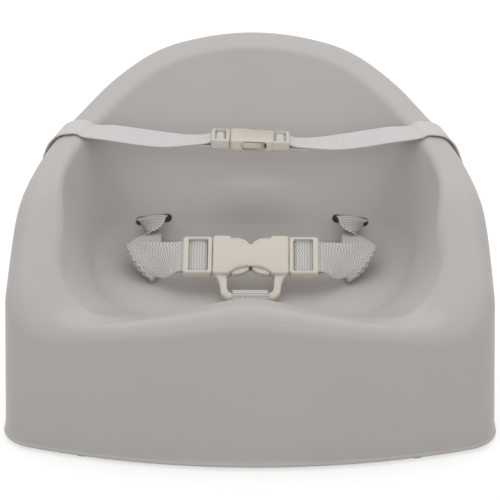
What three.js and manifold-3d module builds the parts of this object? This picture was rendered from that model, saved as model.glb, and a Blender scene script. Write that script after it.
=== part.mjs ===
import * as THREE from 'three';
import { mergeVertices } from 'three/addons/utils/BufferGeometryUtils.js';
import Module from 'manifold-3d';

// A child's chair booster seat: a one-piece moulded shell that stands on four grip feet, a lap harness
// with a three-way side-release buckle, and a chair strap with a small side-release buckle.
// Millimetres, +Z up, the child faces -Y. The origin is on the chair's surface below the middle of the box.

// Seat shell
const HALF_WIDTH = 172.5;
const FRONT_BOW_RADIUS = 470;
const CORNER_RADIUS = 28;
const DEPTH = 307;
const WIDEST_BACK = 60;
const REAR_POWER = 2.42;
const BOWL_CENTRE_BACK = 150;
const WALL = 3;
const BASE_HEIGHT = 2.4;
const BEAD_OUT = 1.3;
const BEAD_HEIGHT = 2.4;
const WALL_DRAFT_DEG = 2.6;
const PAN_HEIGHT = 85.4;
const PAN_RISE = 1.5;
const LUMBAR = { height: 117, depth: 4, halfWidth: 62, halfHeight: 17 };

// Rim sizes at angles round the bowl, from the front centre to the back centre, the same on both sides.
// Heights are above the base edge.
const RIM_ANGLES = [0, 18, 32, 40, 47, 55, 65, 78, 92, 106, 120, 134, 156, 180];
const RIM_OUTER_HEIGHT = [118, 110, 102, 96, 87, 98, 125, 152, 158, 164, 172, 187, 208, 215];
const RIM_CREST_RISE = [-6, -5, -3, 3, 12, 17, 14, 9, 8, 6, 3, -3, -8, -9];
const RIM_WIDTH = [34, 31, 26, 22, 27, 39, 38.5, 30, 26.5, 25, 24, 24, 24, 24];
const RIM_OUTER_ROUND = [18, 17, 17, 24, 42, 58, 60, 52, 42, 29, 16, 10, 8, 8];
const RIM_CREST_ROUND = [24, 22, 20, 16, 13, 10, 8, 7, 7, 8, 9, 9, 9, 9];
const PAN_ANGLES = [0, 48, 60, 75, 90, 105, 118, 125, 135, 150, 180];
const PAN_RADIUS = [88, 112, 114, 110, 107, 103, 94, 83, 68, 55, 48];
const CREASE_ANGLES = [0, 90, 120, 180];
const CREASE_ROUND = [36, 36, 22, 16];
const HALF_COLUMNS = 33;
const WALL_STEPS = 3;
const ROUND_STEPS = 5;
const SLOPE_STEPS = 4;
const PAN_STEPS = 3;

// Ribs below the pan
const RIB = { thickness: 2.2, depth: 12, sideX: 34, crossBack: [118, 165] };

// Grip feet on flanges inside the base
const FOOT = { padRadius: 11, stemRadius: 4, headRadius: 6, headHeight: 2 };
// A front foot is set in from the widest side and the front wall, a rear one from the back end and its wall
const FOOT_INSETS = { front: { side: 58.5, wall: 13.465 }, rear: { end: 59.5, wall: 19.107 } };
const FLANGE = { radius: 15.5, thickness: 3 };
const FIT = 0.3;
const ROUND_SIDES = 18;

// Webbing
const LAP_WEB = { width: 25, thickness: 1.4 };
const CHAIR_WEB = { width: 20, thickness: 1.3 };
const SLOT_GAP = 1.7;
const WEB_FIT = 0.45;
const ANCHOR_BAR = { radius: 2.6, overhang: 6 };
const LAP_SLOT = {
  angle: 125, inward: -6.5, backward: 0.2, up: 10, yaw: 16.5, lean: 28, open: 12.4, depth: 10.7,
};

// Edges of the lap belt between its slot and its latch, lower edge first: how far out beyond the latch, back
// from the buckle's pivot and up from the pan
const LAP_PATH = [
  [[36.5, 110.5, 13.5], [15.7, 108.5, 17.6]],
  [[34.4, 111.5, 9.4], [18.2, 95.5, 16.8]],
  [[31.8, 109.5, 6.6], [24, 88.5, 15.5]],
  [[22.5, 104.5, 8.1], [29.1, 83.5, 15.5]],
  [[19, 94.5, 9.9], [34.2, 76.5, 15.7]],
  [[18.2, 83.5, 10.6], [38.8, 68.5, 15.9]],
  [[17.4, 70, 9.5], [41.7, 62, 16.2]],
  [[16.6, 56, 7.2], [42.5, 58.6, 16.6]],
  [[17.2, 44, 4.8], [42.2, 57.2, 17]],
  [[20.7, 33.5, 3], [41.6, 56.6, 17.4]],
  [[22.3, 31.5, 4.8], [42, 55.4, 19.2]],
  [[20.2, 30.5, 7.6], [39.2, 54.4, 21]],
  [[12.7, 24.5, 9], [27.7, 47.5, 25]],
];

// Lap buckle, lying on its crotch loop: x across, y up its face, z out of its face
const BUCKLE = {
  width: 54, height: 31.5, thickness: 9.6, lift: 17.2, wall: 3, face: 1.8, notch: 6.5, notchHalf: 14,
};
const BUCKLE_TILT_DEG = 33;
const LOOP = { halfWidth: 21.5, leg: 5.2, thickness: 5, cornerRadius: 8 };
const CROTCH_BACK = 85;
const CROTCH_CLEAR = 0.9;

// Latches of the lap buckle
const LATCH = { length: 21, height: 30.4, thickness: 8, rail: 2.0, outerBar: 4, innerBar: 3 };
const LATCH_BAR = { width: 4, thickness: 2 };
const TONGUE = { length: 19, width: 7.6, thickness: 3 };
const ARM = { beam: 2.6, thickness: 5, pad: 2.9, tipGap: 2.4 };

// Chair strap buckle, across the backrest: x along the strap, y across it, z out of its face
const CLIP = { height: 28, thickness: 8.4, body: 31.8, tail: 12, wall: 2.6, face: 1.6, window: [-5.8, 12.6] };
const CLIP_LATCH = { length: 14, rail: 1.8, outerBar: 3, innerBar: 3 };
const CLIP_PLACE = { height: 163.4, fromRear: 109, tiltDeg: -3, rollDeg: 2 };
const CLIP_SAG = 5;
const CHAIR_WEB_TILT_DEG = 15;
const CHAIR_SLOT = { angle: 110, height: 52 };
const CHAIR_STRAP_BOW = 14;

const COLOURS = {
  shell: '#b3aea8', buckle: '#cdc6ba', webbing: '#bcbab7', foot: '#6d6b69', anchor: '#d8d5d0',
};

const wasm = await Module();
wasm.setup();

const shellMaterial = new THREE.MeshStandardMaterial({ color: COLOURS.shell, roughness: 0.42, metalness: 0 });
const buckleMaterial = new THREE.MeshStandardMaterial({
  color: COLOURS.buckle, roughness: 0.36, metalness: 0,
});
const webbingMaterial = new THREE.MeshStandardMaterial({
  color: COLOURS.webbing, roughness: 0.9, metalness: 0,
});
const footMaterial = new THREE.MeshStandardMaterial({ color: COLOURS.foot, roughness: 0.8, metalness: 0 });
const anchorMaterial = new THREE.MeshStandardMaterial({
  color: COLOURS.anchor, roughness: 0.5, metalness: 0,
});

const vec = (x, y, z) => new THREE.Vector3(x, y, z);
const radians = THREE.MathUtils.degToRad;
const lerp = THREE.MathUtils.lerp;
const BUCKLE_MIDDLE = BUCKLE.lift + BUCKLE.height / 2;

// Solids

function toSolid(geometry) {
  const bare = geometry.index ? geometry.clone() : geometry;
  bare.deleteAttribute('normal');
  bare.deleteAttribute('uv');
  const merged = mergeVertices(bare, 1e-4);
  const mesh = new wasm.Mesh({
    numProp: 3,
    vertProperties: new Float32Array(merged.attributes.position.array),
    triVerts: new Uint32Array(merged.index.array),
  });
  mesh.merge();
  return new wasm.Manifold(mesh);
}

function toGeometry(solid) {
  const mesh = solid.getMesh();
  const geometry = new THREE.BufferGeometry();
  const points = new Float32Array(mesh.numVert * 3);
  for (let i = 0; i < mesh.numVert; i += 1) {
    points.set(mesh.vertProperties.subarray(i * mesh.numProp, i * mesh.numProp + 3), i * 3);
  }
  geometry.setAttribute('position', new THREE.BufferAttribute(points, 3));
  geometry.setIndex(new THREE.BufferAttribute(new Uint32Array(mesh.triVerts), 1));
  return geometry;
}

function joined(...geometries) {
  return geometries.map(toSolid).reduce((sum, next) => sum.add(next));
}

function cut(solid, ...geometries) {
  return geometries.reduce((rest, tool) => rest.subtract(toSolid(tool)), solid);
}

function box(low, high) {
  const geometry = new THREE.BoxGeometry(high[0] - low[0], high[1] - low[1], high[2] - low[2]);
  return geometry.translate((low[0] + high[0]) / 2, (low[1] + high[1]) / 2, (low[2] + high[2]) / 2);
}

// A shape extruded along z about z = 0, with its edges eased by a bevel that stays inside the shape
function plate(shape, thickness, bevel, curveSegments = 4) {
  const geometry = new THREE.ExtrudeGeometry(shape, {
    depth: thickness - 2 * bevel,
    bevelEnabled: bevel > 0,
    bevelThickness: bevel,
    bevelSize: bevel,
    bevelOffset: -bevel,
    bevelSegments: 1,
    curveSegments,
  });
  return geometry.translate(0, 0, bevel - thickness / 2);
}

function roundedRect(low, high, radius) {
  const shape = new THREE.Shape();
  const [x0, y0] = low;
  const [x1, y1] = high;
  shape.moveTo(x0 + radius, y0);
  shape.lineTo(x1 - radius, y0);
  shape.absarc(x1 - radius, y0 + radius, radius, -Math.PI / 2, 0);
  shape.lineTo(x1, y1 - radius);
  shape.absarc(x1 - radius, y1 - radius, radius, 0, Math.PI / 2);
  shape.lineTo(x0 + radius, y1);
  shape.absarc(x0 + radius, y1 - radius, radius, Math.PI / 2, Math.PI);
  shape.lineTo(x0, y0 + radius);
  shape.absarc(x0 + radius, y0 + radius, radius, Math.PI, 1.5 * Math.PI);
  return shape;
}

// A mesh in a frame given by an origin and two of its axes
function frameMatrix(origin, xAxis, yAxis) {
  const x = xAxis.clone().normalize();
  const z = x.clone().cross(yAxis).normalize();
  const y = z.clone().cross(x);
  return new THREE.Matrix4().makeBasis(x, y, z).setPosition(origin);
}

// Smooth curve through size stations that never overshoots them
function smoothAt(keys, values, at) {
  const last = keys.length - 1;
  const place = THREE.MathUtils.clamp(at, keys[0], keys[last]);
  const slope = (i) => (values[i + 1] - values[i]) / (keys[i + 1] - keys[i]);
  const tangent = (i) => {
    if (i === 0 || i === last || slope(i - 1) * slope(i) <= 0) return 0;
    const before = keys[i] - keys[i - 1];
    const after = keys[i + 1] - keys[i];
    const w1 = 2 * after + before;
    const w2 = after + 2 * before;
    return (w1 + w2) / (w1 / slope(i - 1) + w2 / slope(i));
  };
  let i = 0;
  while (i < last - 1 && place > keys[i + 1]) i += 1;
  const step = keys[i + 1] - keys[i];
  const t = (place - keys[i]) / step;
  const rise = t * t * (3 - 2 * t);
  const start = t * (1 - t) * (1 - t) * step * tangent(i);
  const end = t * t * (1 - t) * step * tangent(i + 1);
  return values[i] + (values[i + 1] - values[i]) * rise + start - end;
}

// Seat shell

const REAR_LENGTH = DEPTH - WIDEST_BACK;
const bowlY = BOWL_CENTRE_BACK - DEPTH / 2;

// Right half of the base outline: bowed front, round corner, then a long rounded tail
function baseOutline() {
  const points = [];
  const cornerX = HALF_WIDTH - CORNER_RADIUS;
  const cornerBack = FRONT_BOW_RADIUS - Math.sqrt((FRONT_BOW_RADIUS - CORNER_RADIUS) ** 2 - cornerX ** 2);
  const tangentAngle = Math.atan2(cornerX, FRONT_BOW_RADIUS - cornerBack);
  const arc = (steps, from, to, place) => {
    for (let i = 0; i < steps; i += 1) points.push(place(lerp(from, to, i / steps)));
  };
  arc(60, 0, tangentAngle, (a) => [FRONT_BOW_RADIUS * Math.sin(a), FRONT_BOW_RADIUS * (1 - Math.cos(a))]);
  arc(30, tangentAngle, Math.PI / 2, (a) => [
    cornerX + CORNER_RADIUS * Math.sin(a),
    cornerBack - CORNER_RADIUS * Math.cos(a),
  ]);
  arc(10, cornerBack, Math.max(WIDEST_BACK, cornerBack + 1), (back) => [HALF_WIDTH, back]);
  arc(200, 0, Math.PI / 2, (a) => [
    HALF_WIDTH * Math.cos(a) ** (2 / REAR_POWER),
    WIDEST_BACK + REAR_LENGTH * Math.sin(a) ** (2 / REAR_POWER),
  ]);
  points.push([0, DEPTH]);
  return points;
}

const outline = baseOutline();
const outlineAngles = outline.map(([x, back]) => (
  THREE.MathUtils.radToDeg(Math.atan2(x, BOWL_CENTRE_BACK - back))
));

function baseRadius(angle) {
  let i = 0;
  while (i < outline.length - 2 && outlineAngles[i + 1] < angle) i += 1;
  const t = (angle - outlineAngles[i]) / (outlineAngles[i + 1] - outlineAngles[i]);
  const radius = ([x, back]) => Math.hypot(x, BOWL_CENTRE_BACK - back);
  return lerp(radius(outline[i]), radius(outline[i + 1]), THREE.MathUtils.clamp(t, 0, 1));
}

// Angles that space the columns evenly along the base edge
function columnAngles() {
  const lengths = [0];
  for (let i = 1; i < outline.length; i += 1) {
    const step = Math.hypot(outline[i][0] - outline[i - 1][0], outline[i][1] - outline[i - 1][1]);
    lengths.push(lengths[i - 1] + step);
  }
  const total = lengths[lengths.length - 1];
  const angles = [];
  for (let k = 0; k <= HALF_COLUMNS; k += 1) {
    const target = (total * k) / HALF_COLUMNS;
    let i = 0;
    while (i < lengths.length - 2 && lengths[i + 1] < target) i += 1;
    const t = (target - lengths[i]) / (lengths[i + 1] - lengths[i]);
    angles.push(lerp(outlineAngles[i], outlineAngles[i + 1], t));
  }
  angles[0] = 0;
  angles[HALF_COLUMNS] = 180;
  return angles;
}

// A round between two straight runs of a section, limited by the shorter run
function roundCorner(before, corner, after, radius, steps) {
  const u = before.clone().sub(corner);
  const v = after.clone().sub(corner);
  const room = 0.48 * Math.min(u.length(), v.length());
  u.normalize();
  v.normalize();
  const half = u.angleTo(v) / 2;
  const reach = Math.min(radius / Math.tan(half), room);
  const fitted = reach * Math.tan(half);
  const centre = u.clone().add(v).normalize().multiplyScalar(fitted / Math.sin(half)).add(corner);
  const start = corner.clone().addScaledVector(u, reach).sub(centre);
  const end = corner.clone().addScaledVector(v, reach).sub(centre);
  const sweep = start.angleTo(end);
  const points = [];
  for (let i = 0; i <= steps; i += 1) {
    const t = i / steps;
    const a = Math.sin((1 - t) * sweep) / Math.sin(sweep);
    const b = Math.sin(t * sweep) / Math.sin(sweep);
    points.push(centre.clone().addScaledVector(start, a).addScaledVector(end, b));
  }
  return points;
}

// One section of the shell's show face, from the base up over the rim and down to the middle of the pan.
// Sections lie on rays from the bowl's centre; angle 0 is the front.
function shellSection(angle) {
  const radius = baseRadius(angle);
  const turn = radians(angle);
  const at = (r, z) => vec(r * Math.sin(turn), bowlY - r * Math.cos(turn), z);
  const outerHeight = BASE_HEIGHT + smoothAt(RIM_ANGLES, RIM_OUTER_HEIGHT, angle);
  const outerRadius = radius - (outerHeight - BASE_HEIGHT) * Math.tan(radians(WALL_DRAFT_DEG));
  const crestRadius = outerRadius - smoothAt(RIM_ANGLES, RIM_WIDTH, angle);
  const crestHeight = outerHeight + smoothAt(RIM_ANGLES, RIM_CREST_RISE, angle);
  const panRadius = smoothAt(PAN_ANGLES, PAN_RADIUS, angle);
  const foot = at(radius, BASE_HEIGHT);
  const outer = at(outerRadius, outerHeight);
  const crest = at(crestRadius, crestHeight);
  const pan = at(panRadius, PAN_HEIGHT);
  const middle = vec(0, bowlY, PAN_HEIGHT + PAN_RISE);
  const rounds = [
    roundCorner(foot, outer, crest, smoothAt(RIM_ANGLES, RIM_OUTER_ROUND, angle), ROUND_STEPS),
    roundCorner(outer, crest, pan, smoothAt(RIM_ANGLES, RIM_CREST_ROUND, angle), ROUND_STEPS),
    roundCorner(crest, pan, middle, smoothAt(CREASE_ANGLES, CREASE_ROUND, angle), ROUND_STEPS),
  ];
  const points = [];
  const run = (from, to, steps) => {
    for (let i = 0; i < steps; i += 1) points.push(from.clone().lerp(to, i / steps));
  };
  run(foot, rounds[0][0], WALL_STEPS);
  points.push(...rounds[0]);
  points.push(...rounds[1]);
  run(rounds[1][ROUND_STEPS].clone().lerp(rounds[2][0], 1 / SLOPE_STEPS), rounds[2][0], SLOPE_STEPS - 1);
  points.push(...rounds[2]);
  run(rounds[2][ROUND_STEPS].clone().lerp(middle, 1 / PAN_STEPS), middle, PAN_STEPS - 1);
  points.push(middle);
  return points.map(raiseLumbar);
}

// The lumbar pad is a low swelling in the lower backrest
function raiseLumbar(point) {
  const foot = PAN_RADIUS[PAN_RADIUS.length - 1] - CREASE_ROUND[CREASE_ROUND.length - 1];
  if (point.y < bowlY + foot) return point;
  const across = Math.abs(point.x) / LUMBAR.halfWidth;
  const up = Math.abs(point.z - LUMBAR.height) / LUMBAR.halfHeight;
  const far = Math.hypot(across, up);
  const inside = point.y < bowlY + REAR_LENGTH / 2 - WALL * 3;
  if (far >= 1 || !inside) return point;
  const swell = LUMBAR.depth * Math.cos((far * Math.PI) / 2) ** 2;
  return point.clone().add(vec(0, -0.9 * swell, 0.4 * swell));
}

const CREST_INDEX = WALL_STEPS + ROUND_STEPS + 1 + Math.floor(ROUND_STEPS / 2);

// Full grid of the show face: the right half and its mirror image
function shellGrid() {
  const right = columnAngles().map(shellSection);
  const left = right.slice(1, -1).reverse().map((column) => column.map((p) => vec(-p.x, p.y, p.z)));
  return [...right, ...left];
}

// Outward unit normals of the grid; the base ring looks straight out and the middle straight up
function gridNormals(grid) {
  const columns = grid.length;
  return grid.map((column, i) => column.map((point, j) => {
    if (j === column.length - 1) return vec(0, 0, 1);
    const across = grid[(i + 1) % columns][j].clone().sub(grid[(i + columns - 1) % columns][j]);
    const along = column[Math.min(j + 1, column.length - 1)].clone().sub(column[Math.max(j - 1, 0)]);
    const normal = across.cross(along);
    if (j === 0) normal.z = 0;
    return normal.normalize();
  }));
}

// Rings of points joined into a skin; both ends of the stack of rings close on a single point
function ringSkin(rings, firstPole, lastPole) {
  const columns = rings[0].length;
  const points = rings.flat();
  const triangles = [];
  for (let r = 0; r < rings.length - 1; r += 1) {
    for (let i = 0; i < columns; i += 1) {
      const a = r * columns + i;
      const b = r * columns + ((i + 1) % columns);
      triangles.push(a, b, b + columns, a, b + columns, a + columns);
    }
  }
  const first = points.push(firstPole) - 1;
  const last = points.push(lastPole) - 1;
  const top = (rings.length - 1) * columns;
  for (let i = 0; i < columns; i += 1) {
    const next = (i + 1) % columns;
    triangles.push(first, next, i);
    triangles.push(top + i, top + next, last);
  }
  const geometry = new THREE.BufferGeometry();
  geometry.setAttribute('position', new THREE.Float32BufferAttribute(points.flatMap((p) => p.toArray()), 3));
  geometry.setIndex(triangles);
  return geometry;
}

// Rings of the show face from the base bead inward
function showRings(grid) {
  const rings = [];
  const rows = grid[0].length;
  for (let j = 0; j < rows - 1; j += 1) rings.push(grid.map((column) => column[j]));
  const outward = (p, by) => {
    const flat = vec(p.x, p.y - bowlY, 0).normalize();
    return vec(p.x + flat.x * by, p.y + flat.y * by, p.z);
  };
  const base = rings.shift();
  const lift = (p, dz) => vec(p.x, p.y, p.z + dz);
  const bead = [
    base.map((p) => outward(p, BEAD_OUT * 0.7)),
    base.map((p) => lift(outward(p, BEAD_OUT), BEAD_HEIGHT * 0.3)),
    base.map((p) => lift(outward(p, BEAD_OUT), BEAD_HEIGHT * 0.75)),
    base.map((p) => lift(p, BEAD_HEIGHT)),
  ];
  return [...bead, ...rings];
}

// Rings of the hollow underside, from below the base up to the middle of the pan
function hollowRings(grid, normals) {
  const rows = grid[0].length;
  const rings = [];
  for (let j = 0; j < rows - 1; j += 1) {
    const keep = j === 0 || j === rows - 2 || (j + rows) % 2 === 0;
    if (keep) rings.push(grid.map((column, i) => column[j].clone().addScaledVector(normals[i][j], -WALL)));
  }
  const lowest = rings[0].map((p) => vec(p.x, p.y, p.z - WALL));
  return [lowest, ...rings];
}

function seatShell() {
  const grid = shellGrid();
  const show = showRings(grid);
  const hollow = hollowRings(grid, gridNormals(grid));
  const top = vec(0, bowlY, PAN_HEIGHT + PAN_RISE);
  const outside = toSolid(ringSkin(show, vec(0, bowlY, BASE_HEIGHT), top));
  const inside = toSolid(ringSkin(hollow, vec(0, bowlY, BASE_HEIGHT - WALL), vec(0, bowlY, top.z - WALL)));
  const held = [...ribSolids(), ...footFlanges()].reduce((sum, next) => sum.add(next));
  let shell = outside.subtract(inside.subtract(held));
  for (const tool of [...lapSlotTools(), crotchSlotTool(), ...chairSlotTools(), ...footHoleTools()]) {
    shell = shell.subtract(toSolid(tool));
  }
  return shell;
}

// Ribs stand below the pan and join it to the walls
function ribSolids() {
  const low = PAN_HEIGHT - WALL - RIB.depth;
  const top = low + HALF_WIDTH;
  const ribs = [];
  for (const side of [-1, 1]) {
    const x = side * RIB.sideX;
    ribs.push(box([x - RIB.thickness / 2, -DEPTH / 2, low], [x + RIB.thickness / 2, bowlY + 30, top]));
  }
  for (const back of RIB.crossBack) {
    const y = back - DEPTH / 2;
    ribs.push(box([-HALF_WIDTH, y - RIB.thickness / 2, low], [HALF_WIDTH, y + RIB.thickness / 2, top]));
  }
  return ribs.map(toSolid);
}

// Feet

// The flanges join the walls that they stand beside
function footPlaces() {
  const { front, rear } = FOOT_INSETS;
  const frontX = HALF_WIDTH - front.side;
  const frontWall = FRONT_BOW_RADIUS - Math.sqrt(FRONT_BOW_RADIUS ** 2 - frontX ** 2);
  const rearBack = DEPTH - rear.end;
  const alongTail = (rearBack - WIDEST_BACK) / REAR_LENGTH;
  const rearWall = HALF_WIDTH * (1 - alongTail ** REAR_POWER) ** (1 / REAR_POWER);
  const rows = { front: [frontX, frontWall + front.wall], rear: [rearWall - rear.wall, rearBack] };
  return Object.entries(rows).flatMap(([row, [x, back]]) => [-1, 1].map((side) => (
    { name: `foot_${row}_${side < 0 ? 'left' : 'right'}`, x: side * x, y: back - DEPTH / 2 }
  )));
}

function footFlanges() {
  return footPlaces().map(({ x, y }) => {
    const disc = new THREE.CylinderGeometry(FLANGE.radius, FLANGE.radius, FLANGE.thickness, ROUND_SIDES);
    return toSolid(disc.rotateX(Math.PI / 2).translate(x, y, BASE_HEIGHT + FLANGE.thickness / 2));
  });
}

function footHoleTools() {
  return footPlaces().map(({ x, y }) => {
    const radius = FOOT.stemRadius + FIT;
    const hole = new THREE.CylinderGeometry(radius, radius, 4 * FLANGE.thickness, ROUND_SIDES);
    return hole.rotateX(Math.PI / 2).translate(x, y, BASE_HEIGHT);
  });
}

// A soft grip foot: a pad below the flange, a stem through it and a head that holds it
function footGeometry() {
  const padTop = BASE_HEIGHT - FIT;
  const flangeTop = BASE_HEIGHT + FLANGE.thickness + FIT;
  const head = flangeTop + FOOT.headHeight;
  const profile = [
    [0, 0], [FOOT.padRadius - 0.8, 0], [FOOT.padRadius, 0.8], [FOOT.padRadius, padTop],
    [FOOT.stemRadius, padTop], [FOOT.stemRadius, flangeTop], [FOOT.headRadius, flangeTop],
    [FOOT.stemRadius, head], [0, head],
  ];
  const lathe = new THREE.LatheGeometry(profile.map(([r, z]) => new THREE.Vector2(r, z)), ROUND_SIDES);
  return toGeometry(toSolid(lathe.rotateX(Math.PI / 2)));
}

// Webbing

// A flat ribbon through pairs of edge points, closed at both ends
function ribbon(edges, thickness) {
  const points = [];
  const count = edges.length;
  edges.forEach(([a, b], i) => {
    const previous = edges[Math.max(i - 1, 0)];
    const next = edges[Math.min(i + 1, count - 1)];
    const along = next[0].clone().add(next[1]).sub(previous[0]).sub(previous[1]);
    const normal = along.cross(b.clone().sub(a)).normalize().multiplyScalar(thickness / 2);
    points.push(a.clone().add(normal), b.clone().add(normal), b.clone().sub(normal), a.clone().sub(normal));
  });
  const triangles = [];
  for (let i = 0; i < count - 1; i += 1) {
    for (let k = 0; k < 4; k += 1) {
      const a = i * 4 + k;
      const b = i * 4 + ((k + 1) % 4);
      triangles.push(a, b, b + 4, a, b + 4, a + 4);
    }
  }
  const end = (count - 1) * 4;
  triangles.push(0, 2, 1, 0, 3, 2, end, end + 1, end + 2, end, end + 2, end + 3);
  const geometry = new THREE.BufferGeometry();
  geometry.setAttribute('position', new THREE.Float32BufferAttribute(points.flatMap((p) => p.toArray()), 3));
  geometry.setIndex(triangles);
  return outwards(geometry);
}

// Faces turned outward by the sign of the volume
function outwards(geometry) {
  const solid = toSolid(geometry);
  if (solid.volume() > 0) return toGeometry(solid);
  const flipped = geometry.clone();
  const index = Array.from(flipped.index.array);
  for (let i = 0; i < index.length; i += 3) [index[i + 1], index[i + 2]] = [index[i + 2], index[i + 1]];
  flipped.setIndex(index);
  return toGeometry(toSolid(flipped));
}

// Edge pairs carried smoothly through a few chosen pairs
function smoothEdges(pairs, steps) {
  const curves = [0, 1].map((side) => (
    new THREE.CatmullRomCurve3(pairs.map((p) => p[side]), false, 'centripetal')
  ));
  const edges = [];
  for (let i = 0; i <= steps; i += 1) edges.push(curves.map((curve) => curve.getPoint(i / steps)));
  return edges;
}

// A round of webbing about a bar: centre-line points in a plane, from one angle to another
function wrapPoints(centre, radius, fromDeg, toDeg, steps) {
  const points = [];
  for (let i = 0; i <= steps; i += 1) {
    const a = radians(lerp(fromDeg, toDeg, i / steps));
    points.push([centre[0] + radius * Math.cos(a), centre[1] + radius * Math.sin(a)]);
  }
  return points;
}

// Webbing in a frame: centre-line points in its x-z plane, width along its y axis
function planarEdges(points, width, matrix) {
  return points.map(([x, z]) => [-1, 1].map((side) => vec(x, (side * width) / 2, z).applyMatrix4(matrix)));
}

// Slots, and the bars that the webbing ends loop round below them

const slotWidth = (web) => web.width + 2 * SLOT_GAP;
const slotOpen = (web) => web.thickness + 2 * SLOT_GAP;
const wrapRadius = (web) => ANCHOR_BAR.radius + WEB_FIT + web.thickness / 2;

// Frame of the left lap slot at the foot of the backrest: y along the slot, z out of the wall, x down it
function lapSlotMatrix() {
  const turn = radians(LAP_SLOT.angle);
  const r = smoothAt(PAN_ANGLES, PAN_RADIUS, LAP_SLOT.angle);
  const origin = vec(-r * Math.sin(turn), bowlY - r * Math.cos(turn), PAN_HEIGHT);
  origin.add(vec(LAP_SLOT.inward, LAP_SLOT.backward, LAP_SLOT.up));
  const yaw = radians(LAP_SLOT.yaw);
  const lean = radians(LAP_SLOT.lean);
  const along = vec(Math.cos(yaw), Math.sin(yaw), 0);
  const down = vec(Math.sin(yaw) * Math.sin(lean), -Math.cos(yaw) * Math.sin(lean), -Math.cos(lean));
  return frameMatrix(origin, down, along);
}

function lapSlotTools() {
  const half = slotWidth(LAP_WEB) / 2;
  const gap = LAP_SLOT.open / 2;
  const left = box([-gap, -half, -16], [gap, half, 8]).applyMatrix4(lapSlotMatrix());
  return [left, mirrored(left)];
}

function crotchSlotTool() {
  const half = slotWidth(LAP_WEB) / 2;
  const gap = LAP_WEB.thickness + SLOT_GAP + 1;
  const y = CROTCH_BACK - DEPTH / 2;
  return box([-half, y - gap, PAN_HEIGHT - 4 * WALL], [half, y + gap, PAN_HEIGHT + 4 * WALL]);
}

// Frame of a chair strap slot: x out of the wall, y along the slot, z up
function chairSlotMatrix() {
  const section = shellSection(CHAIR_SLOT.angle);
  const low = section[0];
  const high = section[WALL_STEPS];
  const t = (CHAIR_SLOT.height - low.z) / (high.z - low.z);
  const place = low.clone().lerp(high, t);
  const next = shellSection(CHAIR_SLOT.angle + 4)[0];
  const along = next.clone().sub(low).setZ(0).normalize();
  const out = vec(along.y, -along.x, 0);
  return frameMatrix(vec(-place.x, place.y, place.z), vec(-out.x, out.y, 0), vec(along.x, -along.y, 0));
}

function chairSlotTools() {
  const half = slotWidth(CHAIR_WEB) / 2;
  const gap = slotOpen(CHAIR_WEB) / 2;
  const left = box([-14, -half, -gap], [8, half, gap]).applyMatrix4(chairSlotMatrix());
  return [left, mirrored(left)];
}

// Where the lap belt passes its slot, just below the upper lip, and how deep its anchor bar lies
const lapStrapLine = [LAP_WEB.thickness / 2 + 1 - LAP_SLOT.open / 2, -LAP_SLOT.depth];

function anchorBar(web) {
  const length = slotWidth(web) + 2 * ANCHOR_BAR.overhang;
  return new THREE.CapsuleGeometry(ANCHOR_BAR.radius, length - 2 * ANCHOR_BAR.radius, 3, 12);
}

// Lap belts

const pivotY = CROTCH_BACK - DEPTH / 2;
const barRadius = LOOP.thickness / 2;
const pivotZ = PAN_HEIGHT + LAP_WEB.thickness + barRadius + CROTCH_CLEAR;
const buckleMatrix = new THREE.Matrix4()
  .makeRotationX(radians(BUCKLE_TILT_DEG))
  .setPosition(vec(0, pivotY, pivotZ));

const latchInnerX = BUCKLE.width / 2 + FIT;
const lapLatchSize = {
  inner: latchInnerX, outer: latchInnerX + LATCH.length, middle: BUCKLE_MIDDLE, height: LATCH.height,
  thickness: LATCH.thickness, rail: LATCH.rail, outerBar: LATCH.outerBar, innerBar: LATCH.innerBar,
  barX: latchInnerX + (LATCH.length + LATCH.innerBar - LATCH.outerBar) / 2,
  barWidth: LATCH_BAR.width, barThick: LATCH_BAR.thickness, barClear: LAP_WEB.thickness,
  tongueLength: TONGUE.length, tongueWidth: TONGUE.width, tongueThick: TONGUE.thickness,
};

// Webbing end in a latch frame, in the buckle's x-z plane: under the outer bar, round the middle bar and back
function latchEndPoints(size, web, tail) {
  const lift = WEB_FIT + web.thickness / 2;
  const low = -size.barThick - lift;
  const turn = (lift - low) / 2;
  const middle = (lift + low) / 2;
  const under = size.barClear - lift;
  const barEnd = size.barX + size.barWidth / 2;
  const outerStart = size.outer - size.outerBar;
  return [
    [size.outer + 4, under - 1], [size.outer + 0.5, under], [outerStart - 0.5, under], [barEnd + 0.6, lift],
    ...wrapPoints([size.barX - size.barWidth / 2 + 0.4, middle], turn, 90, 270, 6),
    [barEnd, low], [size.outer, low], [size.outer + tail, low - 0.4],
  ];
}

// The left lap belt: round its anchor bar, out at the top of the slot, a half twist, a fold on the pan and
// along to the latch
function lapBelt() {
  const slot = lapSlotMatrix();
  const radius = wrapRadius(LAP_WEB);
  const [top, deep] = lapStrapLine;
  const hook = wrapPoints([top - radius, deep], radius, 180, 360, 10);
  const rootPoints = [[top - 2 * radius, deep + 2.2], ...hook, [top, deep + 4], [top, -2], [top, 0.5]];
  const root = planarEdges(rootPoints, LAP_WEB.width, slot);
  const reach = ([dx, dy, dz]) => vec(-lapLatchSize.outer - dx, pivotY + dy, PAN_HEIGHT + dz);
  const pairs = [root[root.length - 2], root[root.length - 1], ...LAP_PATH.map((pair) => pair.map(reach))];
  const free = smoothEdges(pairs, 40).slice(1);
  const onLatch = buckleMatrix.clone().multiply(new THREE.Matrix4().makeTranslation(0, BUCKLE_MIDDLE, 0));
  const endPoints = latchEndPoints(lapLatchSize, LAP_WEB, 9);
  const end = planarEdges(endPoints.map(([x, z]) => [-x, z]), LAP_WEB.width, onLatch);
  const tied = smoothEdges([free[free.length - 2], free[free.length - 1], end[0], end[1]], 6).slice(2, -1);
  return ribbon([...root.slice(0, -1), ...free, ...tied, ...end.slice(1)], LAP_WEB.thickness);
}

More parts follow.
